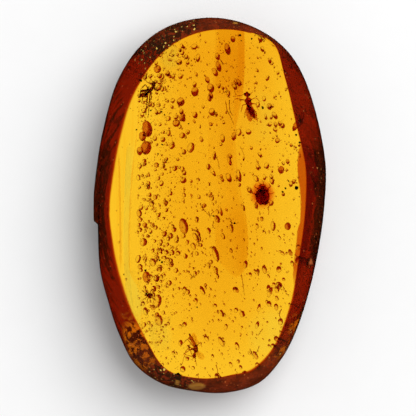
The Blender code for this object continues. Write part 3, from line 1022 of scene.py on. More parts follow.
@dataclass
class Slab:
    """The polished slab, lofted like the frame's two halves but finer and in one piece.

    Attributes:
        stations: The outline, counter-clockwise from the right: x, y and the width of the rounded side
            seen from the front.
        samples: Columns of points for each station.
        edge_thickness: Height of the front face's edge.
        crown: How much higher its middle is.
        girdle_height: Height at which the slab is widest.
        roundness: The superellipse's power.
        face_edge_start: Where on the superellipse a face's edge lies.
        back_width_share: The rounded side's width on the back as a share of the front's.
        back_bevel_extra: How much wider it is on the right.
        back_bevel_middle_y: The middle of that stretch.
        back_bevel_half_span: Half its length.
        lip_proud: How far the lip stands out at its break.
        lip_top_y: Where it starts.
        lip_break_y: Where it breaks off.
        lip_break_span: Over what length.
        lip_half_height: Half its height.
        film_top: Height up to which the wide bevel has only a film.
        crumbled_spots: x, y, size and strength of the patches where the crust is crumbled.
        mottled_spots: The same of those where it is mottled with orange.
        thin_spots: The same of those where it is thin.
        pale_spots: x, y and half sizes of the pale inclusions.
        crust_reach: How far the crust reaches onto the front face.
        thin_loss: How much less far where it is thin.
        thin_share: The share of its depth that is missing there.
        streak_stretch: How many times longer the crust's streaks are than wide.
        front_rings: Rings on the rounded side's front.
        back_rings: Rings on its back.
        crown_rings: Rings on the front face.
    """

    stations: tuple[Point, ...] = (
        (11.05, 0.0, 1.65), (11.15, 4.0, 1.8), (10.3, 8.6, 2.0), (8.95, 12.55, 1.65), (7.15, 15.15, 1.0),
        (4.55, 16.95, 0.5), (1.5, 17.9, 0.85), (-1.6, 17.85, 1.25), (-4.55, 16.85, 1.65),
        (-6.95, 14.9, 1.9), (-8.65, 12.25, 2.0), (-9.6, 9.6, 1.95), (-10.4, 6.0, 1.8), (-10.75, 2.0, 1.4),
        (-10.76, -0.2, 1.15), (-10.7, -1.9, 1.15), (-10.5, -6.05, 1.75), (-9.6, -9.65, 1.95),
        (-8.65, -12.45, 2.1), (-7.15, -15.3, 2.05), (-4.6, -17.15, 1.25), (-1.5, -17.9, 1.1),
        (1.6, -18.05, 1.4), (4.7, -17.15, 1.55), (6.9, -14.85, 1.3), (8.4, -11.95, 1.35),
        (9.65, -8.05, 1.45), (10.55, -3.85, 1.55),
    )
    samples: int = 16
    edge_thickness: float = 7.2
    crown: float = 0.35
    girdle_height: float = 3.3
    roundness: float = 3.0
    face_edge_start: float = 0.4
    back_width_share: float = 0.8
    back_bevel_extra: float = 1.2
    back_bevel_middle_y: float = -0.5
    back_bevel_half_span: float = 8.5
    lip_proud: float = 0.36
    lip_top_y: float = 8.0
    lip_break_y: float = -1.45
    lip_break_span: float = 0.4
    lip_half_height: float = 2.4
    film_top: float = 2.2
    crumbled_spots: Spots = (
        (-6.3, 14.0, 0.9, 0.8), (-4.9, 15.4, 1.1, 1.0), (-3.2, 16.7, 1.1, 1.0), (-1.6, 17.3, 0.7, 0.5),
        (-5.0, -15.9, 0.9, 0.8), (-3.4, -16.8, 1.0, 0.9), (-2.0, -17.2, 0.6, 0.6), (2.45, 17.4, 0.4, 0.5),
        (10.3, 3.0, 0.8, 0.3), (9.1, 10.6, 1.2, 0.14), (10.6, -2.0, 0.8, 0.25), (9.3, -9.8, 1.0, 0.3),
        (8.5, -12.3, 1.2, 0.35), (6.6, -15.0, 1.3, 0.35),
    )
    mottled_spots: Spots = (
        (-7.3, -12.2, 0.8, 0.75), (-6.95, -13.4, 0.85, 1.0), (-6.3, -14.6, 0.95, 1.0),
        (-7.9, -10.6, 1.2, 0.2), (8.6, -11.5, 1.3, 0.4), (7.2, -14.4, 1.3, 0.5), (9.0, 9.6, 0.9, 0.1),
    )
    pale_spots: Spots = (
        (-1.25, -17.25, 0.78, 0.36), (-3.1, -16.9, 0.2, 0.26), (9.65, -5.45, 0.2, 0.25),
        (2.45, 17.4, 0.16, 0.1),
    )
    thin_spots: Spots = ((6.2, 15.6, 2.0, 1.0),)
    crust_reach: float = 0.35
    thin_loss: float = 0.6
    thin_share: float = 0.25
    streak_stretch: float = 5.0
    front_rings: int = 24
    back_rings: int = 20
    crown_rings: int = 10

    def __post_init__(self) -> None:
        """Works out the girdle: points, inward normals and the front's rim widths."""
        knots = np.array(self.stations)
        read = catmull_rom(knots, np.arange(len(knots) * self.samples) / self.samples)
        flat = read[:, :2]
        proud = self.lip(flat, self.girdle_height)
        low = np.array([(flat[:, 0] - proud * 1.01).min(), flat[:, 1].min()])
        high = flat.max(axis=0)
        box_low, box_high = (np.array(corner[:2]) / MM for corner in CAD_BOX)
        self.points = (flat - low) / (high - low) * (box_high - box_low) + box_low
        along = np.roll(self.points, -1, axis=0) - np.roll(self.points, 1, axis=0)
        along /= np.linalg.norm(along, axis=1, keepdims=True)
        self.inward = np.stack([-along[:, 1], along[:, 0]], axis=1)
        self.rim = read[:, 2]

    def lip(self, flat: np.ndarray, height: float) -> np.ndarray:
        """How far the left side's lip stands proud at each point of the outline, at a height."""
        rise = smooth_step((self.lip_top_y - flat[:, 1]) / (self.lip_top_y - self.lip_break_y))
        broken = smooth_step((flat[:, 1] - self.lip_break_y) / self.lip_break_span + 1)
        band = smooth_step(2 * (1 - abs(height - self.girdle_height) / self.lip_half_height))
        return np.where(flat[:, 0] > 0, 0.0, self.lip_proud * rise * broken * band)

    def back_rim(self) -> np.ndarray:
        """The rounded side's width on the back: a share of the front's, and more on the right."""
        off_middle = np.abs(self.points[:, 1] - self.back_bevel_middle_y) / self.back_bevel_half_span
        on_right = np.where(self.points[:, 0] > 0, smooth_step(2 * (1 - off_middle)), 0.0)
        return self.rim * self.back_width_share + self.back_bevel_extra * on_right

    def profile(self, rings: int) -> list[tuple[float, float]]:
        """Steps along a superellipse from a face's edge to the girdle.

        Args:
            rings: How many steps.

        Returns:
            Pairs from (1, 1) at the face's edge to (0, 0) at the girdle: the share of the rim's width
            and the share of the height.
        """
        start = math.acos(self.face_edge_start ** (self.roundness / 2))
        angle = np.linspace(start, 0, rings)
        across = np.cos(angle) ** (2 / self.roundness)
        up = np.sin(angle).clip(0) ** (2 / self.roundness)
        return list(zip((1 - across) / (1 - self.face_edge_start), up / up[0]))

    def level(self, points: np.ndarray, height: float) -> np.ndarray:
        """Flat points lifted to one height."""
        return np.column_stack([points, np.full(len(points), height)])

    def side_ring(self, inset: np.ndarray, height: float) -> np.ndarray:
        """The outline drawn in by an inset, with the lip standing proud, at a height."""
        inset = inset - self.lip(self.points, height)
        return self.level(self.points + self.inward * inset[:, None], height)

    def build(self) -> Form:
        """Lofts the rings from the crown, over the girdle, to the flat back.

        Returns:
            The form, with the values that the amber's finish reads.
        """
        inner = self.points + self.inward * self.rim[:, None]
        thin = self.soft_spots(self.points, self.thin_spots)
        visible = 1 + (self.crust_reach - self.thin_loss * thin) / self.rim
        whole = 1 - self.thin_share * thin
        soft = self.crust_softness()
        bare = 0 * soft
        far_out = 0.85 - 0.13 * smooth_step(self.points[:, 0] / 4)
        rows = []
        for share in [*np.linspace(0, 0.9, self.crown_rings)[1:], *FACE_EDGE_SHARES]:
            ring = self.level(inner * share, self.edge_thickness + self.crown * (1 - share**2))
            inset = 1 + (1 - share) * np.linalg.norm(inner, axis=1) / self.rim
            rows.append((ring, smooth_step((visible - inset) / soft) * whole, bare))
        for inset, rise in self.profile(self.front_rings):
            height = self.girdle_height + (self.edge_thickness - self.girdle_height) * rise
            ring = self.side_ring(self.rim * inset, height)
            crust = smooth_step((visible - inset) / soft) * whole
            rows.append((ring, crust, smooth_step((far_out - inset) / 0.35)))
        for inset, rise in reversed(self.profile(self.back_rings)[:-1]):
            ring = self.side_ring(self.back_rim() * inset, self.girdle_height * (1 - rise))
            crust = smooth_step((1 - inset) / 0.35)
            rows.append((ring, crust + bare, smooth_step((0.62 - inset) / 0.3) + bare))
        back = rows[-1][0][:, :2]
        rows += [(self.level(back * share, 0.0), bare, bare) for share in BACK_SHARES]
        rings, crust, outer = (np.array(column) for column in zip(*rows))
        form = ring_form(rings, (0, 0, self.edge_thickness + self.crown), (0, 0, 0))
        x, y, z = form.points.T
        off_top = 0.5 * (np.abs(x) - 2.0).clip(0) * (y > 0)
        form.values = {
            "crust": np.append(crust.ravel(), [0.0, 0.0]),
            "outer": np.append(outer.ravel(), [0.0, 0.0]),
            "end": smooth_step((np.abs(y) - 11.0 - off_top) / 4.5),
            "crumb": self.soft_spots(form.points, self.crumbled_spots),
            "tiger": self.soft_spots(form.points, self.mottled_spots),
            "film": self.film(x, y, z),
            "pale": self.pale(x, y, z),
            **self.rim_coordinates(rings),
        }
        return form

    def rim_coordinates(self, stack: np.ndarray) -> dict[str, np.ndarray]:
        """Coordinates in which the rim is a short round collar, so that noise is drawn out along it.

        Args:
            stack: The rings, rows x columns x 3.

        Returns:
            The place round the collar as x and y, and the distance down its side.
        """
        steps = np.linalg.norm(np.roll(self.points, -1, axis=0) - self.points, axis=1)
        around = 2 * np.pi * (np.cumsum(steps) - steps[0]) / steps.sum()
        radius = steps.sum() / (2 * np.pi) / self.streak_stretch
        down = np.linalg.norm(np.diff(stack, axis=0, prepend=stack[:1]), axis=2).cumsum(axis=0)
        numbers = (radius * np.cos(around) + 0 * down, radius * np.sin(around) + 0 * down, down)
        ends = ([0.0, 0.0], [0.0, 0.0], [0.0, down[-1].mean()])
        return {
            name: np.concatenate([number.ravel(), end])
            for name, number, end in zip(RIM_COORDINATES, numbers, ends)
        }

    def crust_softness(self) -> np.ndarray:
        """The share of the rim over which the crust sets in: soft on the left, crisp elsewhere."""
        x, y = self.points.T
        side = 1 - smooth_step((np.abs(y) / y.max() - 0.5) / 0.35)
        lower_right = smooth_step((x - 2) / 3) * smooth_step((-6 - y) / 4)
        return 0.22 + np.where(x < 0, 0.38, 0.0) * side + 0.4 * lower_right

    def soft_spots(self, points: np.ndarray, spots: Spots) -> np.ndarray:
        """A sum of soft spots, each exp(-(distance / size) squared) times its strength."""
        total = np.zeros(len(points))
        for x, y, size, strength in spots:
            apart = np.hypot(points[:, 0] - x, points[:, 1] - y) / size
            total += strength * np.exp(-(apart**2))
        return total.clip(0, 1)

    def film(self, x: np.ndarray, y: np.ndarray, z: np.ndarray) -> np.ndarray:
        """Where the wide back bevel keeps only a film: one on the right below film_top, but for its ends."""
        ends = smooth_step(2.5 * (1 - np.abs(y - self.back_bevel_middle_y) / self.back_bevel_half_span))
        return ends * smooth_step((self.film_top - z) / 0.4) * smooth_step((x - 6.5) / 1.0)

    def pale(self, x: np.ndarray, y: np.ndarray, z: np.ndarray) -> np.ndarray:
        """Where pale inclusions lie in the crust: one inside their outlines on the upper side."""
        total = 0 * x
        for middle_x, middle_y, half_x, half_y in self.pale_spots:
            apart = np.hypot((x - middle_x) / half_x, (y - middle_y) / half_y)
            total += smooth_step((1.15 - apart) / 0.3) * (z > self.girdle_height)
        return total.clip(0, 1)


# ---- bubbles


def painted_crescents(sphere: Form, turns: np.ndarray, heading: np.ndarray, thick: np.ndarray) -> np.ndarray:
    """How far each point of each bubble lies in the painted shade crescent on its right side.

    Seen from above, it is what of a disc lies outside a second disc of that size, shifted to the left.

    Args:
        sphere: The ball of radius one.
        turns: A 3 x 3 matrix for each bubble.
        heading: The direction of each crescent's middle, in radians.
        thick: The width of each crescent's middle, as a share of the bubble's radius.

    Returns:
        One in the crescent, half on a thin ring all round, nought elsewhere; both are painted shade at the
        bubble's edge.
    """
    flat = np.einsum("cij,nj->cni", turns, sphere.points)[..., :2]
    side = flat[..., 0] * np.cos(heading)[:, None] + flat[..., 1] * np.sin(heading)[:, None]
    shift = thick[:, None]
    beyond = (flat**2).sum(axis=2) + 2 * shift * side + shift**2 - 1
    # painted shade: a thin dark ring round each bubble's edge
    ring = 0.45 * smooth_step((np.linalg.norm(flat, axis=2) - 0.74) / 0.2)
    return np.maximum(smooth_step(beyond / (0.38 * shift) + 0.05), ring).ravel()


def scattered(sphere: Form, centres: np.ndarray, radii: np.ndarray, turns: np.ndarray) -> Form:
    """Copies of one ball, each stretched by its radii, turned and put at its centre.

    Args:
        sphere: The ball of radius one.
        centres: One row for each copy.
        radii: Half sizes of each copy before it is turned.
        turns: A 3 x 3 matrix for each copy.

    Returns:
        One form with all the copies.
    """
    points = np.einsum("cij,cnj->cni", turns, sphere.points[None] * radii[:, None]) + centres[:, None]
    shift = (np.arange(len(centres)) * len(sphere.points))[:, None, None]
    quads, triangles = (sphere.quads[None] + shift, sphere.triangles[None] + shift)
    return Form(points.reshape(-1, 3), quads.reshape(-1, 4), triangles.reshape(-1, 3))


@dataclass
class Bubbles:
    """Gas bubbles in the resin: large ones placed one by one, and swarms of small ones.

    Attributes:
        large: x, y, width, length, turn in degrees and stain of each large bubble.
        swarms: Name, count, smallest and largest width and detail of each swarm.
        left_edge: Nothing lies left of it but the odd speck.
        column: x of the densest column.
        corner: Middle of another dense patch.
        heights: Where the bubbles lie in height.
        painted_crescent_bias: The heading of a painted shade crescent in the slab's middle, as x and y.
        painted_crescent_reach: How far off the middle it turns fully towards it.
        painted_crescent_width: The thinnest and widest painted shade crescent, as shares of a bubble's
            radius.
        seed: Picks the random draws.
    """

    large: Spots = (
        (-5.9, 7.3, 1.0, 1.6, 8, 1.0), (-6.37, 6.6, 0.75, 0.95, 0, 0.9), (-6.02, 5.5, 1.1, 1.35, 0, 1.0),
        (-6.6, 5.2, 0.6, 0.85, 0, 0.8), (-6.21, 4.07, 0.48, 0.8, -10, 0.3), (-6.78, 2.65, 0.42, 0.6, 0, 0),
        (-5.2, 6.4, 0.45, 0.55, 0, 0.5), (-5.17, 0.77, 0.48, 0.5, 0, 0.6), (-6.7, -0.75, 0.55, 0.75, 5, 0.6),
        (-6.5, -0.2, 0.45, 0.5, 0, 0.4), (-6.6, -1.35, 0.5, 0.5, 0, 0.5), (-2.47, -1.98, 0.9, 1.6, 12, 0.7),
        (-1.36, -2.98, 0.5, 0.87, 32, 0.1), (-6.3, -3.5, 0.8, 0.8, 0, 0.4), (-6.6, -2.3, 0.5, 0.45, 0, 0.3),
        (-5.6, -2.5, 0.42, 0.5, 0, 0.2), (-5.15, -2.1, 0.45, 0.45, 0, 0.5),
        (-5.42, -5.44, 0.65, 0.8, 0, 0.4), (-6.8, -5.1, 0.5, 0.8, -15, 0.2),
        (-6.6, -5.85, 0.5, 0.55, 0, 0.6), (-5.95, -6.86, 0.8, 1.2, 10, 0.9),
        (-5.05, -6.96, 0.55, 0.7, 0, 0.4), (-5.3, -7.95, 0.5, 0.6, 0, 0.2),
        (-4.96, -9.13, 0.9, 1.35, -14, 0.4), (-4.82, -10.96, 0.78, 1.1, 5, 0.5),
        (-6.21, -11.4, 0.45, 0.5, 0, 0.1), (-6.1, -10.1, 0.5, 0.8, 10, 0.1),
        (-2.1, -8.25, 0.5, 0.55, 0, 0.3), (-2.57, -15.6, 0.55, 0.6, 10, 0.3),
        (-1.6, -15.5, 0.35, 0.4, 0, 0.0), (-1.45, 15.15, 0.62, 0.62, 0, 0.3),
        (-2.65, 15.2, 0.35, 0.5, 30, 0.2), (-2.6, 14.54, 0.45, 0.5, 0, 0.1),
        (-2.89, 13.67, 0.6, 0.6, 0, 0.6), (-2.1, 13.6, 0.35, 0.4, 0, 0.2), (-4.95, 13.0, 0.7, 0.8, 0, 0.9),
        (-4.55, 12.25, 0.5, 0.7, -20, 0.1), (-4.85, 11.2, 0.5, 0.65, -20, 0.2),
        (0.1, 11.2, 0.68, 0.95, 20, 0.6), (-1.4, 10.85, 0.78, 0.95, 5, 0.7),
        (-2.76, 9.88, 0.78, 0.85, 10, 0.6), (0.22, 8.9, 0.6, 0.78, 12, 0.3),
        (-1.4, 8.62, 0.52, 0.68, 10, 0.3), (-2.6, 8.4, 0.62, 0.85, -20, 0.8),
        (-3.18, 7.85, 0.75, 0.75, 0, 0.8), (-2.6, 6.66, 0.62, 0.6, 20, 0.5), (-3.9, 6.9, 0.45, 0.6, 0, 0.4),
        (-3.6, 5.7, 0.6, 0.7, -20, 0.4), (-1.8, 5.5, 0.75, 1.1, -8, 0.1), (-0.8, 6.3, 0.32, 0.65, 10, 0.6),
        (1.7, 14.9, 0.6, 1.15, 14, 0.7), (0.75, 14.2, 0.5, 0.75, 20, 0.4), (0.85, 13.25, 0.5, 1.15, 16, 0.7),
        (0.5, 12.72, 0.5, 0.95, 28, 0.6), (2.53, 11.82, 0.4, 0.7, 20, 0.1), (2.74, 6.98, 0.55, 0.75, 0, 0.1),
        (3.69, 7.0, 0.55, 0.55, 0, 0.0), (4.8, 15.88, 0.42, 0.75, 15, 0.3), (5.0, 14.9, 0.35, 0.6, 15, 0.1),
        (5.7, 13.8, 0.35, 0.6, 15, 0.2), (4.5, 12.9, 0.25, 0.5, 30, 0.1), (5.47, 12.15, 0.38, 0.6, -20, 0.1),
        (5.15, 10.17, 0.4, 0.55, 0, 0.2), (5.7, 7.75, 0.4, 0.55, -30, 0.3), (6.42, 6.2, 0.48, 0.6, 0, 0.7),
        (6.76, 3.38, 0.62, 0.78, 0, 1.0), (4.55, 3.7, 0.4, 0.7, 10, 0.2), (5.9, 2.35, 0.42, 0.8, 18, 0.5),
        (7.7, 2.05, 0.4, 0.6, 0, 0.4), (7.4, -1.99, 0.64, 0.75, 0, 1.0), (2.75, 2.85, 0.5, 1.3, 12, 0.1),
        (1.8, 2.65, 0.52, 1.0, 22, 0.1), (0.31, 3.2, 0.34, 1.0, 28, 0.1), (1.0, -0.5, 0.36, 1.1, 20, 0.1),
        (0.55, -4.62, 0.62, 1.6, 16, 0.2), (0.45, 4.75, 0.35, 0.9, 0, 0.0), (1.85, 4.3, 0.4, 1.1, 18, 0.4),
        (-0.7, -8.1, 0.4, 0.95, 22, 0.1), (1.15, -10.3, 0.38, 0.75, 25, 0.1),
        (1.1, -13.0, 0.45, 1.1, 28, 0.3), (2.6, -13.4, 0.4, 0.8, 15, 0.1), (0.55, -6.2, 0.42, 0.95, 24, 0.1),
        (0.1, -5.4, 0.4, 0.45, 0, 0.1), (-0.1, -2.4, 0.4, 0.6, 20, 0.1), (8.45, -5.25, 0.9, 0.9, 0, 0.3),
        (6.55, -6.1, 0.5, 0.65, 0, 0.5), (4.4, -6.4, 0.3, 0.8, 35, 0.2), (5.7, -8.3, 0.4, 1.1, -20, 0.3),
        (5.6, -7.9, 0.42, 0.7, 10, 0.4), (5.4, -9.2, 0.35, 0.4, 0, 0.0), (6.3, -9.7, 0.4, 0.7, 10, 0.6),
        (4.65, -9.8, 0.35, 0.85, -10, 0.1), (6.7, -11.1, 0.5, 0.7, 0, 0.4),
        (4.5, -11.4, 0.35, 0.8, -15, 0.1), (2.5, -10.0, 0.45, 0.5, 0, 0.1), (6.1, -14.0, 0.4, 0.95, -5, 0.3),
        (4.5, -15.2, 0.4, 0.5, 0, 0.1), (3.3, -16.0, 0.45, 0.5, 0, 0.0), (2.0, -15.2, 0.35, 0.6, 20, 0.1),
        (0.8, -16.4, 0.6, 0.5, 0, 0.1), (8.15, 7.6, 0.55, 1.15, -25, 1.0), (8.65, 8.35, 0.4, 1.2, -12, 0.8),
        (-4.0, 12.6, 0.5, 0.6, 0, 0.1), (-4.6, 2.1, 0.45, 0.6, -10, 0.2), (-2.5, 2.4, 0.6, 0.65, 0, 0.1),
        (-4.3, -2.7, 0.55, 0.6, 0, 0.6), (-3.7, -2.9, 0.5, 0.55, 0, 0.5), (-3.15, -3.3, 0.5, 0.6, 0, 0.1),
        (-3.4, -2.3, 0.5, 0.5, 0, 0.5), (-3.0, -4.55, 0.5, 0.5, 0, 0.2), (-3.55, -4.5, 0.5, 0.5, 0, 0.2),
        (-4.1, -4.45, 0.5, 0.5, 0, 0.1), (-4.7, -4.3, 0.45, 0.5, 0, 0.0), (-3.2, -6.2, 0.45, 0.5, 0, 0.2),
        (-1.4, -6.5, 0.4, 0.5, 10, 0.1), (-2.3, -4.85, 0.45, 0.45, 0, 0.1), (-2.4, -11.35, 0.5, 0.5, 0, 0.1),
    )
    swarms: tuple[tuple[str, int, float, float, int], ...] = (
        ("medium_bubbles", 300, 0.28, 0.52, 10), ("small_bubbles", 860, 0.11, 0.25, 7),
        ("fine_bubbles", 2000, 0.05, 0.13, 5),
    )
    left_edge: float = -6.9
    column: float = -5.0
    corner: tuple[float, float] = (-5.0, 12.8)
    heights: tuple[float, float] = (2.0, 6.3)
    painted_crescent_bias: tuple[float, float] = (0.45, -0.10)
    painted_crescent_reach: float = 18.0
    painted_crescent_width: tuple[float, float] = (0.6, 1.15)
    seed: int = 11

    def bubbles(self, draw: np.random.Generator, detail: int, centres: Any, radii: Any, yaw: Any) -> Form:
        """Bubbles that lean down to the lower right, each with a painted shade crescent on that side.

        Args:
            draw: Source of random numbers.
            detail: Rows of each ball.
            centres: One row for each.
            radii: Half sizes of each.
            yaw: The turn of each, in degrees.

        Returns:
            The form, with the values of its painted shade crescents.
        """
        sphere = ball(detail, detail + 2)
        lean = draw.normal((7.0, 12.0), (5.0, 6.0), (len(yaw), 2))
        turns = np.array([turn_matrix(*angles) for angles in zip(yaw, *lean.T)])
        form = scattered(sphere, centres, radii, turns)
        # heading and width of each bubble's painted shade crescent
        inward = np.array(self.painted_crescent_bias) - centres[:, :2] / self.painted_crescent_reach
        heading = np.arctan2(*inward.T[::-1]) + np.radians(draw.normal(0, 22, len(yaw)))
        thick = draw.uniform(*self.painted_crescent_width, len(yaw))
        form.values["painted_crescent"] = painted_crescents(sphere, turns, heading, thick)
        return form

    def build_large(self) -> Form:
        """The bubbles placed one by one, flattened and leaning so that they show dark crescents, deepened by
        painted shade.
        """
        draw = np.random.default_rng(self.seed)
        table = np.array(self.large)
        flat = draw.uniform(0.42, 0.62, len(table))
        centres = np.column_stack([table[:, :2], draw.uniform(*self.heights, len(table))])
        radii = np.column_stack([table[:, 2] / 2, table[:, 3] / 2, table[:, 2] / 2 * flat])
        form = self.bubbles(draw, 16, centres, radii, table[:, 4])
        form.values["stain"] = np.repeat(table[:, 5] ** 2, len(form.points) // len(table))
        return form

    def places(self, draw: np.random.Generator, count: int, slab: Slab) -> np.ndarray:
        """Random places inside the front face, densest in a column near the left.

        Args:
            draw: Source of random numbers.
            count: How many.
            slab: Whose outline they stay in.

        Returns:
            x and y of each.
        """
        spread = draw.uniform((-9, -16.4), (8.6, 16.4), (count * 12, 2))
        column = np.exp(-(((spread[:, 0] - self.column) / 1.9) ** 2))
        clumps = value_noise(np.column_stack([spread, 0 * column]), 1.3, self.seed) * 0.5 + 0.6
        share = (0.26 + 0.74 * column) * clumps * (spread[:, 0] > self.left_edge)
        corner = np.exp(-(((spread - self.corner) / 1.9) ** 2).sum(axis=1)) * (spread[:, 0] > self.left_edge)
        share += 0.38 * corner + 0.02 * (spread[:, 0] < self.left_edge)
        kept = spread[draw.uniform(0, 1, len(spread)) < share]
        edge = slab.points + slab.inward * (slab.rim + 0.15)[:, None]
        return kept[inside(kept, edge)][:count]

    def build_swarm(self, slab: Slab, count: int, low: float, high: float, detail: int) -> Form:
        """One swarm of bubbles, round on the left and drawn out and leaning on the right.

        Args:
            slab: Whose outline they stay in.
            count: How many.
            low: The smallest width.
            high: The largest width.
            detail: Rows of each ball.

        Returns:
            The form of the whole swarm.
        """
        draw = np.random.default_rng(self.seed + count)
        places = self.places(draw, count, slab)
        drawn_out = smooth_step((places[:, 0] + 3.5) / 3.0)
        width = low + (high - low) * draw.uniform(0, 1, len(places)) ** 1.6
        length = width * (1.1 + draw.uniform(0, 0.9, len(places)) * drawn_out)
        yaw = draw.normal(16, 14, len(places)) * drawn_out
        flat = draw.uniform(0.4, 0.75, len(places))
        centres = np.column_stack([places, draw.uniform(*self.heights, len(places))])
        radii = np.column_stack([width / 2, length / 2, width / 2 * flat])
        form = self.bubbles(draw, detail, centres, radii, yaw)
        stain = 0.8 * draw.uniform(0, 1, len(places)) ** 4
        form.values["stain"] = np.repeat(stain, len(form.points) // len(places))
        return form

    def add(self, slab: Slab) -> None:
        """Adds the large bubbles and the swarms."""
        finish = BubbleFinish()
        add_piece(self.build_large(), "large_bubbles", finish)
        for name, *numbers in self.swarms:
            add_piece(self.build_swarm(slab, *numbers), name, finish)


def inside(places: np.ndarray, outline: np.ndarray) -> np.ndarray:
    """Whether each place lies inside an outline round the origin.

    Args:
        places: x and y of each.
        outline: Points of a curve that each ray from the origin crosses once.

    Returns:
        One truth value for each place.
    """
    angle = np.arctan2(outline[:, 1], outline[:, 0])
    order = np.argsort(angle)
    reach = np.linalg.norm(outline, axis=1)[order]
    heading = np.arctan2(places[:, 1], places[:, 0])
    return np.linalg.norm(places, axis=1) < np.interp(heading, angle[order], reach, period=2 * np.pi)


# ---- resin


@dataclass
class Flows:
    """The layers in which the resin ran, as bodies of their own: the main one, a darker tongue with its
    stem, thin lines and pale veils.

    Attributes:
        edges: The curves that bound the layers.
        finishes: Of the main layer, the tongue and the lines.
        lines: Left edges, widths and heights of thin orange lines.
        veils: Left edges, widths, heights and strengths of pale veils.
        line_depth: How thick the lines are.
        veil_depth: How thick the veils are.
    """

    edges: FlowTints = FlowTints()
    finishes: tuple[LayerFinish, ...] = (
        LayerFinish("main_flow", (0.873, 0.633, 0.0), 66.0, (0.99, 0.97, 0.92)),
        LayerFinish("tongue_flow", (0.876, 0.645, 0.0), 328.0, (0.98, 0.93, 0.80)),
        LayerFinish("flow_lines", (0.80, 0.35, 0.0), 900.0, (0.94, 0.82, 0.60)),
    )
    lines: tuple[tuple[Path, float, float], ...] = (
        (((-6.87, 12.0), (-6.8, 8.5), (-7.2, 5.0), (-7.56, 1.0), (-7.7, -4.3), (-7.6, -6.4)), 0.12, 4.9),
        (((-8.68, 4.5), (-8.6, 0.0), (-8.52, -5.5)), 0.2, 3.0),
        (((-6.6, -8.6), (-6.56, -10.3), (-6.5, -12.3)), 0.12, 4.9),
        (((-2.87, 12.6), (-2.85, 10.0), (-2.92, 8.2)), 0.10, 5.6),
    )
    veils: tuple[tuple[Path, float, float, float], ...] = (
        (((-7.95, 5.6), (-8.1, 1.0), (-8.2, -4.0), (-8.0, -8.0), (-7.5, -10.5)), 0.55, 5.8, 1.0),
        (((-8.0, -6.2), (-7.7, -8.0), (-7.0, -10.8), (-6.6, -12.0)), 1.3, 5.4, 0.6),
        (((-5.2, -10.6), (-5.7, -12.2), (-5.2, -13.8)), 1.6, 5.7, 0.7),
        (((-4.5, 15.2), (-4.8, 14.1), (-4.3, 12.9)), 1.6, 5.7, 0.7),
    )
    line_depth: float = 0.3
    veil_depth: float = 0.06

    def add(self, slab: Slab) -> None:
        """Adds every layer."""
        edges = self.edges
        paths = (edges.main_left, edges.tongue_left, edges.tongue_right, edges.stem_left)
        left, tongue_left, tongue_right, stem_left = map(np.array, paths)
        main, tongue, line = self.finishes
        add_piece(layer(left, self.right_of(slab, left), 1.5, 4.5, 0.5, plateau=4.0), "main_flow", main)
        add_piece(layer(tongue_left, tongue_right, 4.7, 5.7, 0.86), "tongue_flow", tongue)
        stem_right = tongue_right[:len(stem_left)]
        add_piece(layer(stem_left, stem_right, 5.75, 6.4, 0.9), "tongue_stem", tongue)
        forms = [self.strip(*numbers, self.line_depth) for numbers in self.lines]
        add_piece(Form.joined(forms), "flow_lines", line)
        forms = []
        for *numbers, strength in self.veils:
            form = self.strip(*numbers, self.veil_depth)
            below = form.points[:, 2].max() - form.points[:, 2]
            form.values["veil"] = strength * smooth_step(1 - below / self.veil_depth)
            forms.append(form)
        add_piece(Form.joined(forms), "veils", HazeFinish((0.78, 0.70, 0.40), 0.16))

    def strip(self, path: Path, width: float, height: float, thick: float) -> Form:
        """A layer of one width along a path, with its underside at a height."""
        left = np.array(path)
        return layer(left, left + (width, 0.0), height, height + thick, 0.55)

    def right_of(self, slab: Slab, left: np.ndarray) -> np.ndarray:
        """The right edge of the main body: under the slab's rim, at the heights in y of its left edge."""
        edge = slab.points + slab.inward * slab.rim[:, None] * 0.7
        edge = edge[edge[:, 0] > 0]
        order = np.argsort(edge[:, 1])
        return np.column_stack([np.interp(left[:, 1], edge[order, 1], edge[order, 0]), left[:, 1]])


# ---- debris


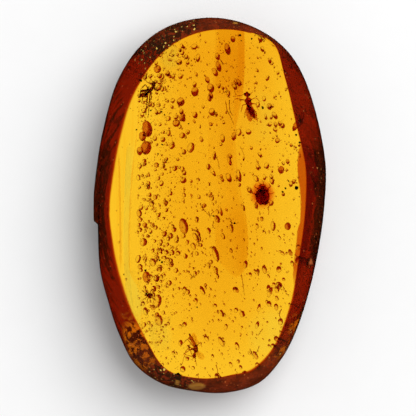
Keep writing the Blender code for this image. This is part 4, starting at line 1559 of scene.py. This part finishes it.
@dataclass
class Debris:
    """Loose hairs, leg fragments and specks of dirt in the resin.

    Attributes:
        hairs: Corners of each hair, x, y and height.
        specks: x, y, height and size of each dark speck.
        plug: Centre and half sizes of the brown plug in the crust.
        seed: Picks the random draws.
    """

    hairs: tuple[tuple[Point, ...], ...] = (
        ((1.52, 9.87, 4.6), (1.68, 9.02, 4.6), (2.0, 8.4, 4.5), (2.3, 7.65, 4.5)),
        ((1.86, 10.05, 4.7), (1.9, 9.22, 4.7), (2.12, 8.6, 4.6)),
        ((1.23, 11.2, 5.0), (1.38, 10.75, 5.0), (1.59, 10.93, 5.1), (1.92, 10.83, 5.0)),
        ((2.52, 10.53, 4.9), (2.36, 10.97, 5.0), (2.3, 11.3, 5.0)),
        ((3.9, 9.0, 4.2), (4.2, 8.5, 4.3), (4.0, 8.2, 4.2), (4.35, 7.9, 4.2)),
        ((5.5, -0.2, 4.0), (5.6, -0.55, 4.0), (5.55, -0.9, 4.1)),
        ((0.4, 4.9, 5.6), (0.8, 4.2, 5.6), (0.9, 3.5, 5.5)),
        ((2.9, 5.6, 5.2), (3.25, 4.8, 5.2), (3.2, 4.2, 5.2)),
        ((-0.5, -0.5, 5.0), (-0.1, -0.9, 5.0), (0.35, -1.0, 5.1)), ((-0.1, -0.6, 5.0), (0.05, -1.25, 5.0)),
        ((0.1, -0.85, 5.1), (0.4, -0.55, 5.1)), ((0.35, -1.5, 5.0), (0.3, -2.0, 5.0)),
        ((1.9, -1.5, 5.3), (2.3, -1.75, 5.3), (2.75, -1.65, 5.3)),
        ((2.0, -1.35, 5.3), (2.1, -1.9, 5.2), (2.2, -2.1, 5.2)),
        ((6.8, -9.9, 4.6), (6.6, -10.4, 4.7), (6.75, -10.9, 4.6)), ((5.0, -11.8, 4.4), (4.6, -12.4, 4.4)),
        ((-6.1, -9.9, 4.5), (-5.8, -10.6, 4.5)), ((1.0, 13.9, 5.2), (1.3, 13.5, 5.2), (1.6, 13.6, 5.2)),
        ((6.1, -13.2, 5.0), (6.0, -13.8, 5.0), (5.7, -14.6, 5.0)), ((4.7, -13.4, 5.2), (4.4, -14.2, 5.2)),
        ((0.6, -15.2, 4.6), (0.75, -15.9, 4.6), (0.5, -16.5, 4.6)), ((3.0, -6.6, 4.4), (3.3, -8.6, 4.4)),
    )
    specks: Spots = (
        (8.23, 1.66, 5.2, 0.17), (7.46, 2.31, 4.8, 0.09), (5.02, 9.32, 5.0, 0.14), (-5.59, 9.05, 5.0, 0.09),
        (-4.76, -5.2, 5.2, 0.10), (-4.55, -5.4, 5.2, 0.12), (2.35, -1.68, 5.3, 0.09), (0.35, -1.0, 5.1, 0.08),
        (-2.0, 7.8, 4.8, 0.09), (7.2, 1.65, 5.0, 0.10), (-8.15, -6.6, 4.0, 0.1),
        (-4.6, 8.95, 5.0, 0.10), (-5.0, 8.7, 5.0, 0.09), (-4.3, 8.65, 5.0, 0.08), (-6.95, 7.2, 5.0, 0.09),
        (2.9, 16.2, 6.2, 0.12), (3.0, 15.7, 6.2, 0.08), (-4.5, 5.8, 4.7, 0.09), (-4.9, 4.9, 4.6, 0.08),
        (-6.1, -6.2, 4.6, 0.1), (4.0, 15.9, 5.0, 0.08), (8.55, 6.0, 5.1, 0.1), (8.2, 6.7, 5.3, 0.12),
        (6.9, 1.3, 4.9, 0.1), (-1.2, -9.7, 4.5, 0.07), (-6.55, 11.9, 5.4, 0.12), (-6.0, 12.3, 5.4, 0.1),
    )
    plug: tuple[Point, Point] = ((-2.95, -16.35, 4.9), (0.33, 0.36, 0.5))
    seed: int = 5

    def build_hairs(self) -> Form:
        """All the hairs and leg fragments."""
        draw = np.random.default_rng(self.seed)
        forms = []
        for corners in self.hairs:
            path = smooth_path(corners, 8)
            width = draw.uniform(0.028, 0.045)
            forms.append(tube(path, width * (1 - 0.5 * np.linspace(0, 1, len(path))), 6))
        return Form.joined(forms)

    def build_specks(self) -> Form:
        """All the specks, and the plug."""
        draw = np.random.default_rng(self.seed)
        forms = []
        for x, y, height, size in self.specks:
            radii = size * draw.uniform(0.6, 1.1, 3)
            grain = egg((x, y, height), tuple(radii), yaw=draw.uniform(0, 180), detail=9)
            forms.append(crumpled(grain, size * 0.5, size * 0.8, self.seed + len(forms)))
        centre, radii = self.plug
        forms.append(crumpled(egg(centre, radii, yaw=20, detail=16), 0.12, 0.3, self.seed))
        return Form.joined(forms)

    def add(self) -> None:
        """Adds the hairs, which light passes, and the specks, which it hardly passes."""
        hairs = ChitinFinish("hair_brown", (0.25, 0.05, 0.03), (0.60, 0.22, 0.10))
        add_piece(self.build_hairs(), "debris_hairs", hairs)
        dirt = ChitinFinish("dirt", (0.006, 0.001, 0.001), (0.08, 0.010, 0.003), passing=0.3)
        add_piece(self.build_specks(), "debris_specks", dirt)


# ---- animals


@dataclass
class Wing:
    """A thin wing with veins.

    Attributes:
        centre: Its middle.
        half: Its half width and half length.
        yaw: Turn about Z; at nought the wing's root is at the +Y end.
        pitch: Turn about X, in degrees.
    """

    centre: Point
    half: tuple[float, float]
    yaw: float
    pitch: float

    def film(self) -> Form:
        """The membrane: a very flat egg, blunter at its far end."""
        flat = egg(self.centre, (*self.half, 0.014), self.yaw, self.pitch, detail=24, blunt=0.25)
        return crumpled(flat, 0.02, 0.3, 3)

    def veins(self) -> list[Form]:
        """Five veins that fan out from the root, x = spread (1 - ((1 - t)^2)) at y = 1 - 2 t."""
        t = np.linspace(0.02, 0.9, 14)
        forms = []
        for spread in (-0.62, -0.3, 0.05, 0.4, 0.7):
            x = spread * self.half[0] * (1 - (1 - t) ** 2) * np.sqrt(1 - np.abs(2 * t - 1) ** 2 * 0.5)
            path = np.stack([x, (1 - 2 * t) * self.half[1], 0.012 + 0 * t], axis=1)
            vein = tube(path, 0.016 * (1 - 0.5 * t), 5)
            forms.append(vein.moved(turn_matrix(self.yaw, self.pitch), self.centre))
        return forms


@dataclass
class Animal:
    """What the animals share.

    Attributes:
        name: Of the frame's node that it replaces.
        place: Its origin.
        slot: Its material slot; not used.
        dark: The cuticle's dark colour.
        light: Its light colour.
        wing_tint: What passes its wings.
        hairs: How many bristles it has.
        seed: Picks its random draws.
    """

    name: str = ""
    place: Point = (0.0, 0.0, 0.0)
    slot: Slot = Slot.DARK
    dark: Colour = (0.22, 0.016, 0.014)
    light: Colour = (0.52, 0.085, 0.05)
    wing_tint: Colour = WHITE
    hairs: int = 160
    seed: int = 1

    def body(self) -> list[Form]:
        """Head, thorax, abdomen and what is on them."""
        raise NotImplementedError

    def limbs(self) -> list[Form]:
        """Legs and feelers."""
        raise NotImplementedError

    def wings(self) -> list[Wing]:
        """Its wings."""
        return []

    def add(self) -> None:
        """Adds the animal in place of its node, and its wing films beside it."""
        draw = np.random.default_rng(self.seed)
        body = crumpled(Form.joined(self.body()), 0.025, 0.22, self.seed)
        legs = Form.joined(self.limbs())
        veins = [vein for wing in self.wings() for vein in wing.veins()]
        hairs = [bristles(body, self.hairs, 0.11, draw), bristles(legs, self.hairs, 0.07, draw)]
        form = Form.joined([body, legs, *veins, *hairs]).moved(NO_TURN, self.place)
        finish = ChitinFinish(f"{self.name}_cuticle", self.dark, self.light)
        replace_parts(add_piece(form, f"{self.name}_body", finish), self.name)
        films = [wing.film().moved(NO_TURN, self.place) for wing in self.wings()]
        if films:
            finish = WingFinish(f"{self.name}_wing", self.wing_tint)
            add_piece(Form.joined(films), f"{self.name}_wings", finish)


@dataclass
class Wasp(Animal):
    """A small parasitic wasp seen from above, head up, its wings folded along its abdomen."""

    name: str = "wasp"
    place: Point = (3.4, 10.1, 3.85)
    slot: Slot = Slot.RED
    dark: Colour = (0.36, 0.02, 0.02)
    light: Colour = (0.62, 0.10, 0.06)
    wing_tint: Colour = (0.60, 0.22, 0.12)
    seed: int = 21

    def body(self) -> list[Form]:
        """Round head with eyes, humped thorax, thin waist and an abdomen in rings."""
        return [
            egg((0.13, 0.48, 0.02), (0.27, 0.2, 0.2), -10, detail=20),
            egg((-0.06, 0.5, 0.07), (0.12, 0.14, 0.13), 10, detail=14),
            egg((0.32, 0.44, 0.07), (0.12, 0.14, 0.13), -30, detail=14),
            egg((0.12, 0.66, 0.0), (0.1, 0.1, 0.07), 0, detail=10),
            egg((0.15, 0.18, 0.0), (0.12, 0.2, 0.12), detail=12, folds=2, fold_depth=0.3),
            egg((0.24, -0.1, 0.03), (0.33, 0.28, 0.31), 20, detail=20),
            egg((0.31, -0.38, 0.05), (0.3, 0.3, 0.3), 20, detail=20, folds=2, fold_depth=0.12),
            egg((0.36, -0.72, 0.0), (0.12, 0.22, 0.11), 15, detail=14, folds=2, fold_depth=0.25),
            egg((0.56, -1.18, 0.0), (0.27, 0.58, 0.25), 28, detail=36, blunt=-0.12, folds=6, fold_depth=0.14),
            egg((0.82, -1.68, 0.0), (0.07, 0.14, 0.06), 28, detail=10),
        ]

    def limbs(self) -> list[Form]:
        """Elbowed feelers and six legs with feet."""
        return [
            limb(0.0288, (0.0, 0.58, 0.1), (-0.45, 0.38, 0.2), beads=2),
            limb(0.0288, (-0.45, 0.38, 0.2), (-1.2, 0.3, 0.25), beads=8, end=0.7),
            limb(0.0288, (0.25, 0.58, 0.1), (0.45, 0.5, 0.2), (0.64, 0.72, 0.25), beads=3, end=0.8),
            limb(0.054, (0.2, -0.1, -0.15), (-0.35, 0.0, -0.3), (-0.8, 0.08, -0.38), (-1.02, 0.02, -0.4)),
            limb(0.0432, (0.2, -0.4, -0.2), (-0.3, -0.55, -0.4), (-0.38, -1.0, -0.48), (-0.46, -1.24, -0.5)),
            limb(0.0504, (0.3, -0.6, -0.2), (-0.05, -1.1, -0.4), (-0.06, -1.55, -0.48), (-0.14, -1.78, -0.5)),
            limb(0.0468, (0.4, -0.1, -0.1), (0.92, 0.18, -0.2), (1.2, -0.02, -0.28), (1.34, -0.19, -0.3)),
            limb(0.0468, (0.45, -0.35, -0.15), (0.95, -0.4, -0.35), (1.1, -0.8, -0.43), (1.2, -0.98, -0.45)),
            limb(0.0468, (0.5, -0.55, -0.2), (1.02, -1.3, -0.35), (1.03, -1.85, -0.4), (1.12, -2.12, -0.4)),
        ]

    def wings(self) -> list[Wing]:
        """Two wings held back over the abdomen."""
        return [
            Wing((0.30, -1.2, 0.28), (0.26, 0.95), 8, -5),
            Wing((0.55, -1.15, 0.3), (0.24, 0.92), 30, -7),
        ]


@dataclass
class Ant(Animal):
    """A long-legged ant lying on its side among folded legs."""

    name: str = "ant"
    place: Point = (-5.85, 11.05, 3.85)
    dark: Colour = (0.10, 0.010, 0.008)
    light: Colour = (0.34, 0.045, 0.03)
    hairs: int = 260
    seed: int = 31

    def body(self) -> list[Form]:
        """Long head with jaws, thorax in three humps, a knobbed waist and a ringed gaster."""
        return [
            egg((0.5, 0.36, 0.02), (0.19, 0.3, 0.19), -12, detail=22, blunt=-0.15),
            egg((0.42, 0.42, 0.14), (0.07, 0.09, 0.07), detail=10),
            egg((0.58, 0.64, 0.03), (0.06, 0.14, 0.05), 20, detail=10),
            egg((0.46, 0.65, 0.03), (0.05, 0.12, 0.05), -25, detail=10),
            egg((0.3, 0.05, 0.02), (0.2, 0.22, 0.2), -50, detail=16),
            egg((0.12, -0.13, 0.0), (0.2, 0.22, 0.19), -50, detail=16),
            egg((0.02, -0.25, 0.03), (0.14, 0.16, 0.15), -50, detail=14),
            egg((-0.1, -0.35, 0.03), (0.1, 0.13, 0.14), -55, detail=12),
            egg((-0.2, -0.42, 0.0), (0.07, 0.14, 0.08), -60, detail=10),
            egg((-0.4, -0.5, 0.0), (0.22, 0.42, 0.24), -75, detail=30, folds=4, fold_depth=0.15),
            egg((-0.42, -0.14, 0.24), (0.1, 0.3, 0.1), -80, detail=16),
            egg((-0.1, -0.02, 0.24), (0.1, 0.26, 0.1), -40, detail=16),
            egg((-0.12, -0.55, -0.2), (0.1, 0.26, 0.1), -20, detail=16),
            egg((0.62, 0.1, -0.12), (0.1, 0.2, 0.1), 25, detail=14),
        ]

    def limbs(self) -> list[Form]:
        """Feelers and six bent legs."""
        return [
            limb(0.0345, (0.4, 0.55, 0.1), (-0.1, 0.7, 0.25), beads=1, end=0.8),
            limb(0.0302, (-0.1, 0.7, 0.25), (-0.3, 1.0, 0.28), (-0.42, 1.36, 0.3), beads=4, end=0.7),
            limb(0.0389, (0.6, 0.55, 0.05), (0.62, 0.85, 0.1), (0.8, 1.0, 0.1), beads=3),
            limb(0.0604, (0.05, 0.0, 0.15), (-0.25, 0.48, 0.3), (-0.6, 0.12, 0.3), (-0.74, -0.04, 0.3)),
            limb(0.0734, (0.1, -0.05, 0.15), (-0.68, -0.08, 0.35), (-0.72, -0.38, 0.32), (-0.78, -0.52, 0.3)),
            limb(0.0604, (0.1, -0.2, -0.1), (-0.5, -0.75, -0.3), (-0.55, -1.1, -0.3), (-0.63, -1.32, -0.3)),
            limb(0.0604, (0.0, -0.25, -0.1), (-0.1, -1.25, -0.2), (-0.14, -2.0, -0.2), (-0.22, -2.42, -0.2)),
            limb(0.0561, (0.22, -0.2, -0.1), (0.1, -1.45, -0.35), (0.06, -2.3, -0.35), (-0.02, -2.72, -0.35)),
            limb(0.0561, (0.3, -0.1, -0.1), (0.32, -0.75, -0.3), (0.18, -1.17, -0.3)),
        ]


@dataclass
class Beetle(Animal):
    """A round dark beetle with its legs drawn in, lumpy from the resin stuck to it.

    Attributes:
        stain: What it has bled into the resin.
        stain_reach: Half sizes of that.
    """

    name: str = "beetle"
    place: Point = (5.0, 1.05, 3.8)
    dark: Colour = (0.42, 0.02, 0.02)
    light: Colour = (1.0, 0.42, 0.20)
    hairs: int = 420
    seed: int = 41
    stain: LayerFinish = LayerFinish(
        "bled_stain", (0.78, 0.10, 0.0), 1850.0, (1.0, 0.95, 0.88), ((0.6, 3.0, 1.0, 0.4, 0.7, 1.0),), 1.002
    )
    stain_reach: Point = (1.32, 1.48, 0.85)

    def body(self) -> list[Form]:
        """Wing cases with a seam, a broad shield and a small head with eyes."""
        return [
            egg((0.0, -0.2, 0.02), (0.67, 0.77, 0.4), detail=26),
            egg((-0.2, -0.24, 0.14), (0.45, 0.75, 0.4), 3, detail=34, folds=9, fold_depth=0.04),
            egg((0.2, -0.24, 0.14), (0.45, 0.75, 0.4), -3, detail=34, folds=9, fold_depth=0.04),
            egg((0.0, 0.48, 0.05), (0.5, 0.29, 0.33), detail=26),
            egg((0.0, 0.78, -0.02), (0.29, 0.21, 0.21), detail=20),
            egg((-0.24, 0.8, 0.06), (0.09, 0.1, 0.09), detail=10),
            egg((0.24, 0.8, 0.06), (0.09, 0.1, 0.09), detail=10),
            egg((0.45, 0.35, 0.2), (0.2, 0.16, 0.14), 40, detail=12),
            egg((-0.5, -0.1, 0.22), (0.18, 0.22, 0.14), 20, detail=12),
            egg((0.35, -0.75, 0.2), (0.2, 0.16, 0.14), -30, detail=12),
        ]

    def limbs(self) -> list[Form]:
        """Looped feelers and six short thick legs."""
        right_legs = (
            ((0.4, 0.5, -0.08), (0.78, 0.75, -0.2), (0.66, 0.92, -0.28), (0.6, 1.04, -0.3)),
            ((0.5, 0.0, -0.08), (0.95, 0.1, -0.2), (1.06, 0.18, -0.27), (1.14, 0.24, -0.3)),
            ((0.4, -0.5, -0.08), (0.7, -0.95, -0.2), (0.56, -1.28, -0.28), (0.48, -1.47, -0.3)),
        )
        forms = [
            limb(0.024, (-0.1, 0.88, 0.0), (-0.32, 1.12, 0.1), (-0.48, 1.34, 0.1), beads=4, end=0.9),
            limb(0.024, (0.1, 0.88, 0.0), (0.05, 1.2, 0.1), (-0.15, 1.44, 0.1), beads=4, end=0.9),
        ]
        for side in (1, -1):
            forms += [limb(0.051, *[(side * x, y, z) for x, y, z in corners]) for corners in right_legs]
        return forms

    def add(self) -> None:
        """Adds the beetle and the stain that has bled from it into the resin."""
        super().add()
        halo = ball(24, 48, power=4).moved(np.diag(self.stain_reach), self.place)
        add_piece(halo, "beetle_stain", self.stain)


@dataclass
class Mite(Animal):
    """A mite: a round body, small mouth parts to the left and eight short legs."""

    name: str = "mite"
    place: Point = (-5.65, -8.6, 3.85)
    dark: Colour = (0.16, 0.010, 0.010)
    light: Colour = (0.45, 0.05, 0.03)
    hairs: int = 90
    seed: int = 51

    def body(self) -> list[Form]:
        """A plump body with a fold across it, and two palps in front."""
        return [
            egg((0.0, 0.0, 0.0), (0.26, 0.3, 0.24), 90, detail=24, folds=2, fold_depth=0.12),
            egg((-0.34, 0.03, -0.02), (0.1, 0.17, 0.1), 90, detail=14),
            egg((-0.44, 0.09, 0.0), (0.035, 0.1, 0.035), 70, detail=8),
            egg((-0.44, -0.03, 0.0), (0.035, 0.1, 0.035), 110, detail=8),
        ]

    def limbs(self) -> list[Form]:
        """Four legs on each side, fanned out from under the body."""
        hip = np.array((-0.1, 0.0, -0.08))
        forms = []
        for side in (-1, 1):
            for spread, reach in ((35, 0.85), (70, 0.62), (110, 0.6), (145, 0.7)):
                heading = math.radians(180 + side * spread)
                way = np.array((math.cos(heading), math.sin(heading), 0.0))
                stops = ((0.15, 0.0), (0.4, 0.06), (0.62, 0.1), (0.85, 0.0), (1.0, -0.06))
                corners = [tuple(hip + way * (reach * far) + (0, 0, lift)) for far, lift in stops]
                forms.append(limb(0.044, *corners, end=0.45))
        return forms


@dataclass
class Gnat(Animal):
    """A fungus gnat on its side: abdomen up, head down, wings spread, long legs to the left."""

    name: str = "gnat"
    place: Point = (-1.7, -13.65, 3.85)
    slot: Slot = Slot.BROWN
    dark: Colour = (0.36, 0.07, 0.04)
    light: Colour = (0.74, 0.34, 0.18)
    wing_tint: Colour = (0.93, 0.72, 0.36)
    hairs: int = 220
    seed: int = 61

    def body(self) -> list[Form]:
        """Small head with large eyes, humped thorax and a long ringed abdomen."""
        return [
            egg((0.36, -0.02, 0.02), (0.25, 0.36, 0.26), 8, detail=24, blunt=0.1),
            egg((0.42, -0.2, 0.03), (0.18, 0.2, 0.2), 8, detail=16),
            egg((0.05, 0.75, 0.0), (0.18, 0.68, 0.17), 26, detail=44, folds=8, fold_depth=0.2),
            egg((-0.2, 1.28, 0.0), (0.08, 0.14, 0.08), 30, detail=12),
            egg((0.3, -0.48, 0.0), (0.1, 0.22, 0.1), -15, detail=14, folds=2, fold_depth=0.2),
            egg((0.22, -0.72, 0.0), (0.18, 0.19, 0.16), detail=18),
            egg((0.14, -0.7, 0.07), (0.11, 0.13, 0.1), detail=12),
            egg((0.3, -0.74, 0.07), (0.1, 0.12, 0.1), detail=12),
        ]

    def limbs(self) -> list[Form]:
        """A beaded feeler, a beak and six long legs with feet."""
        return [
            limb(0.0432, (0.24, -0.8, 0.0), (0.34, -1.15, 0.1), (0.46, -1.64, 0.1), beads=5),
            limb(0.0346, (0.18, -0.8, 0.0), (0.1, -1.0, 0.0), (0.08, -1.16, 0.0), beads=2),
            limb(0.0518, (0.25, -0.2, 0.1), (-0.35, 0.25, 0.3), (-0.1, -0.35, 0.34), (0.0, -0.68, 0.35)),
            limb(0.0475, (0.25, -0.1, 0.1), (-0.5, -0.1, 0.3), (-0.8, -0.95, 0.3), (-0.93, -1.53, 0.3)),
            limb(0.0518, (0.25, 0.1, 0.1), (-0.45, 0.9, 0.2), (-0.68, 0.66, 0.2), (-0.82, 0.48, 0.2)),
            limb(0.0475, (0.3, -0.25, -0.1), (0.02, -0.78, -0.3), (-0.4, -0.66, -0.3), (-0.64, -0.58, -0.3)),
            limb(0.0432, (0.3, 0.0, -0.1), (-0.3, -0.2, -0.35), (-0.6, -0.42, -0.35), (-0.8, -0.6, -0.35)),
            limb(0.0432, (0.35, 0.15, -0.1), (0.75, 0.6, -0.3), (0.9, 0.32, -0.3), (0.95, 0.12, -0.3)),
        ]

    def wings(self) -> list[Wing]:
        """One wing spread to the lower right, one up along the abdomen."""
        return [
            Wing((0.66, -0.55, 0.14), (0.3, 0.68), 48, -6),
            Wing((0.3, 0.7, 0.18), (0.25, 0.82), 194, -6),
        ]


# ---- studio


@dataclass
class Studio:
    """Floor, soft light and the camera above the slab.

    Attributes:
        frame_width: What the picture spans at the slab's girdle.
        distance: From the camera to the girdle.
        aim: The point that the camera looks at.
        pad_light: Radiance of the light under the slab.
        pad_inset: How far inside the slab's outline that light ends.
        pad_height: Its height.
        floor_height: The floor's height.
        floor_half: Half the floor's side.
        key_place: Where the key light stands.
        key_size: Its side.
        key_power: Its watts.
        sky_fade: Where the sky's fade starts and stops, as sines of the height, and its strengths there.
    """

    frame_width: float = 39.91
    distance: float = 600.0
    aim: Point = (-0.169, -0.249, 3.3)
    pad_light: float = 1.37
    pad_inset: float = 0.6
    pad_height: float = -0.2
    floor_height: float = -0.4
    floor_half: float = 600.0
    key_place: Point = (325.0, 275.0, 605.0)
    key_size: float = 700.0
    key_power: float = 5.5
    sky_fade: tuple[float, float, float, float] = (0.2, 0.95, 0.62, 0.44)

    def build(self, slab: Slab) -> None:
        """Puts up everything that isn't part of the object."""
        self.build_floor()
        self.build_pad(slab)
        self.build_lights()
        self.build_camera()
        scene = bpy.context.scene
        scene.view_settings.view_transform = "Standard"
        scene.cycles.max_bounces = 40
        scene.cycles.transmission_bounces = 40
        scene.cycles.transparent_max_bounces = 24
        scene.cycles.glossy_bounces = 8
        scene.cycles.diffuse_bounces = 4
        scene.cycles.sample_clamp_indirect = 4.0

    def build_floor(self) -> None:
        """A wide white sheet just under the slab."""
        shader = Shader("floor")
        grain = shader.noise(3.0, 2.0)
        shader.surface(shader.principled({
            "Base Color": shader.mix(grain, (0.86, 0.86, 0.86), (0.88, 0.88, 0.88)),
            "Roughness": 0.9,
            "Specular IOR Level": 0.0,
        }))
        corners = [(x * self.floor_half, y * self.floor_half, self.floor_height)
                   for x, y in ((-1, -1), (1, -1), (1, 1), (-1, 1))]
        sheet = Form(np.array(corners), np.array([[0, 1, 2, 3]]), np.zeros((0, 3), int))
        floor = sheet.to_object("floor", shader.material)
        floor.visible_glossy = False

    def build_pad(self, slab: Slab) -> None:
        """A sheet of light under the slab's flat back, seen only through the amber."""
        shader = Shader("light_pad")
        glow = shader.noise(12.0, 1.0)
        shader.surface(shader.node("ShaderNodeEmission", {}, {
            "Color": shader.mix(glow, WHITE, (0.97, 0.97, 0.97)),
            "Strength": self.pad_light,
        }))
        rim = slab.level(slab.points + slab.inward * self.pad_inset, self.pad_height)
        count = len(rim)
        around = np.arange(count)
        fan = np.stack([around, (around + 1) % count, np.full(count, count)], axis=1)
        points = np.concatenate([rim, [[0, 0, self.pad_height]]])
        pad = Form(points, np.zeros((0, 4), int), fan).to_object("light_pad", shader.material)
        pad.visible_camera = pad.visible_diffuse = False

    def build_lights(self) -> None:
        """A large soft key from the right, and an even sky that no surface mirrors."""
        light = bpy.data.lights.new("key", "AREA")
        light.energy = self.key_power
        light.size = self.key_size * MM
        lamp = bpy.data.objects.new("key", light)
        lamp.location = Vector(self.key_place) * MM
        lamp.rotation_euler = (-lamp.location).to_track_quat("-Z", "Y").to_euler()
        lamp.visible_glossy = lamp.visible_transmission = False
        bpy.context.scene.collection.objects.link(lamp)
        world = bpy.data.worlds.new("soft_sky")
        bpy.context.scene.world = world
        world.use_nodes = True
        world.cycles_visibility.glossy = False
        tree = world.node_tree
        background = tree.nodes["Background"]
        place = tree.nodes.new("ShaderNodeTexCoord")
        height = tree.nodes.new("ShaderNodeSeparateXYZ")
        tree.links.new(place.outputs["Generated"], height.inputs[0])
        fade = tree.nodes.new("ShaderNodeMapRange")
        fade.interpolation_type = "SMOOTHSTEP"
        tree.links.new(height.outputs["Z"], fade.inputs["Value"])
        for key, number in enumerate(self.sky_fade, 1):
            fade.inputs[key].default_value = number
        tree.links.new(fade.outputs["Result"], background.inputs["Strength"])
        background.inputs["Color"].default_value = (*WHITE, 1.0)

    def build_camera(self) -> None:
        """A long lens that looks straight down, the slab's long side upright."""
        lens = bpy.data.cameras.new("camera")
        lens.lens = lens.sensor_width * self.distance / self.frame_width
        lens.clip_start = 0.01
        camera = bpy.data.objects.new("camera", lens)
        camera.location = (Vector(self.aim) + Vector((0, 0, self.distance))) * MM
        bpy.context.scene.collection.objects.link(camera)
        bpy.context.scene.camera = camera


# ---- main


def add_piece(form: Form, name: str, finish: Any) -> bpy.types.Object:
    """Makes a piece of the object, rides it on the one body and reports it.

    Args:
        form: Its surface.
        name: Its name.
        finish: What builds its material.

    Returns:
        The piece.
    """
    piece = form.to_object(name, finish.build())
    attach(piece, ROOT_BODY)
    LOG.info("%s: %d faces", name, len(form.quads) + len(form.triangles))
    return piece


def main() -> None:
    """Builds the slab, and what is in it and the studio."""
    logging.basicConfig(level=logging.INFO, format="%(name)s: %(message)s")
    slab = Slab()
    amber = add_piece(slab.build(), "amber", AmberFinish())
    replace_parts(amber, "amber_back", "amber_front")
    Flows().add(slab)
    Bubbles().add(slab)
    for animal in (Wasp(), Ant(), Beetle(), Mite(), Gnat()):
        animal.add()
    Debris().add()
    Studio().build(slab)
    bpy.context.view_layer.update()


if __name__ == "__main__":
    main()
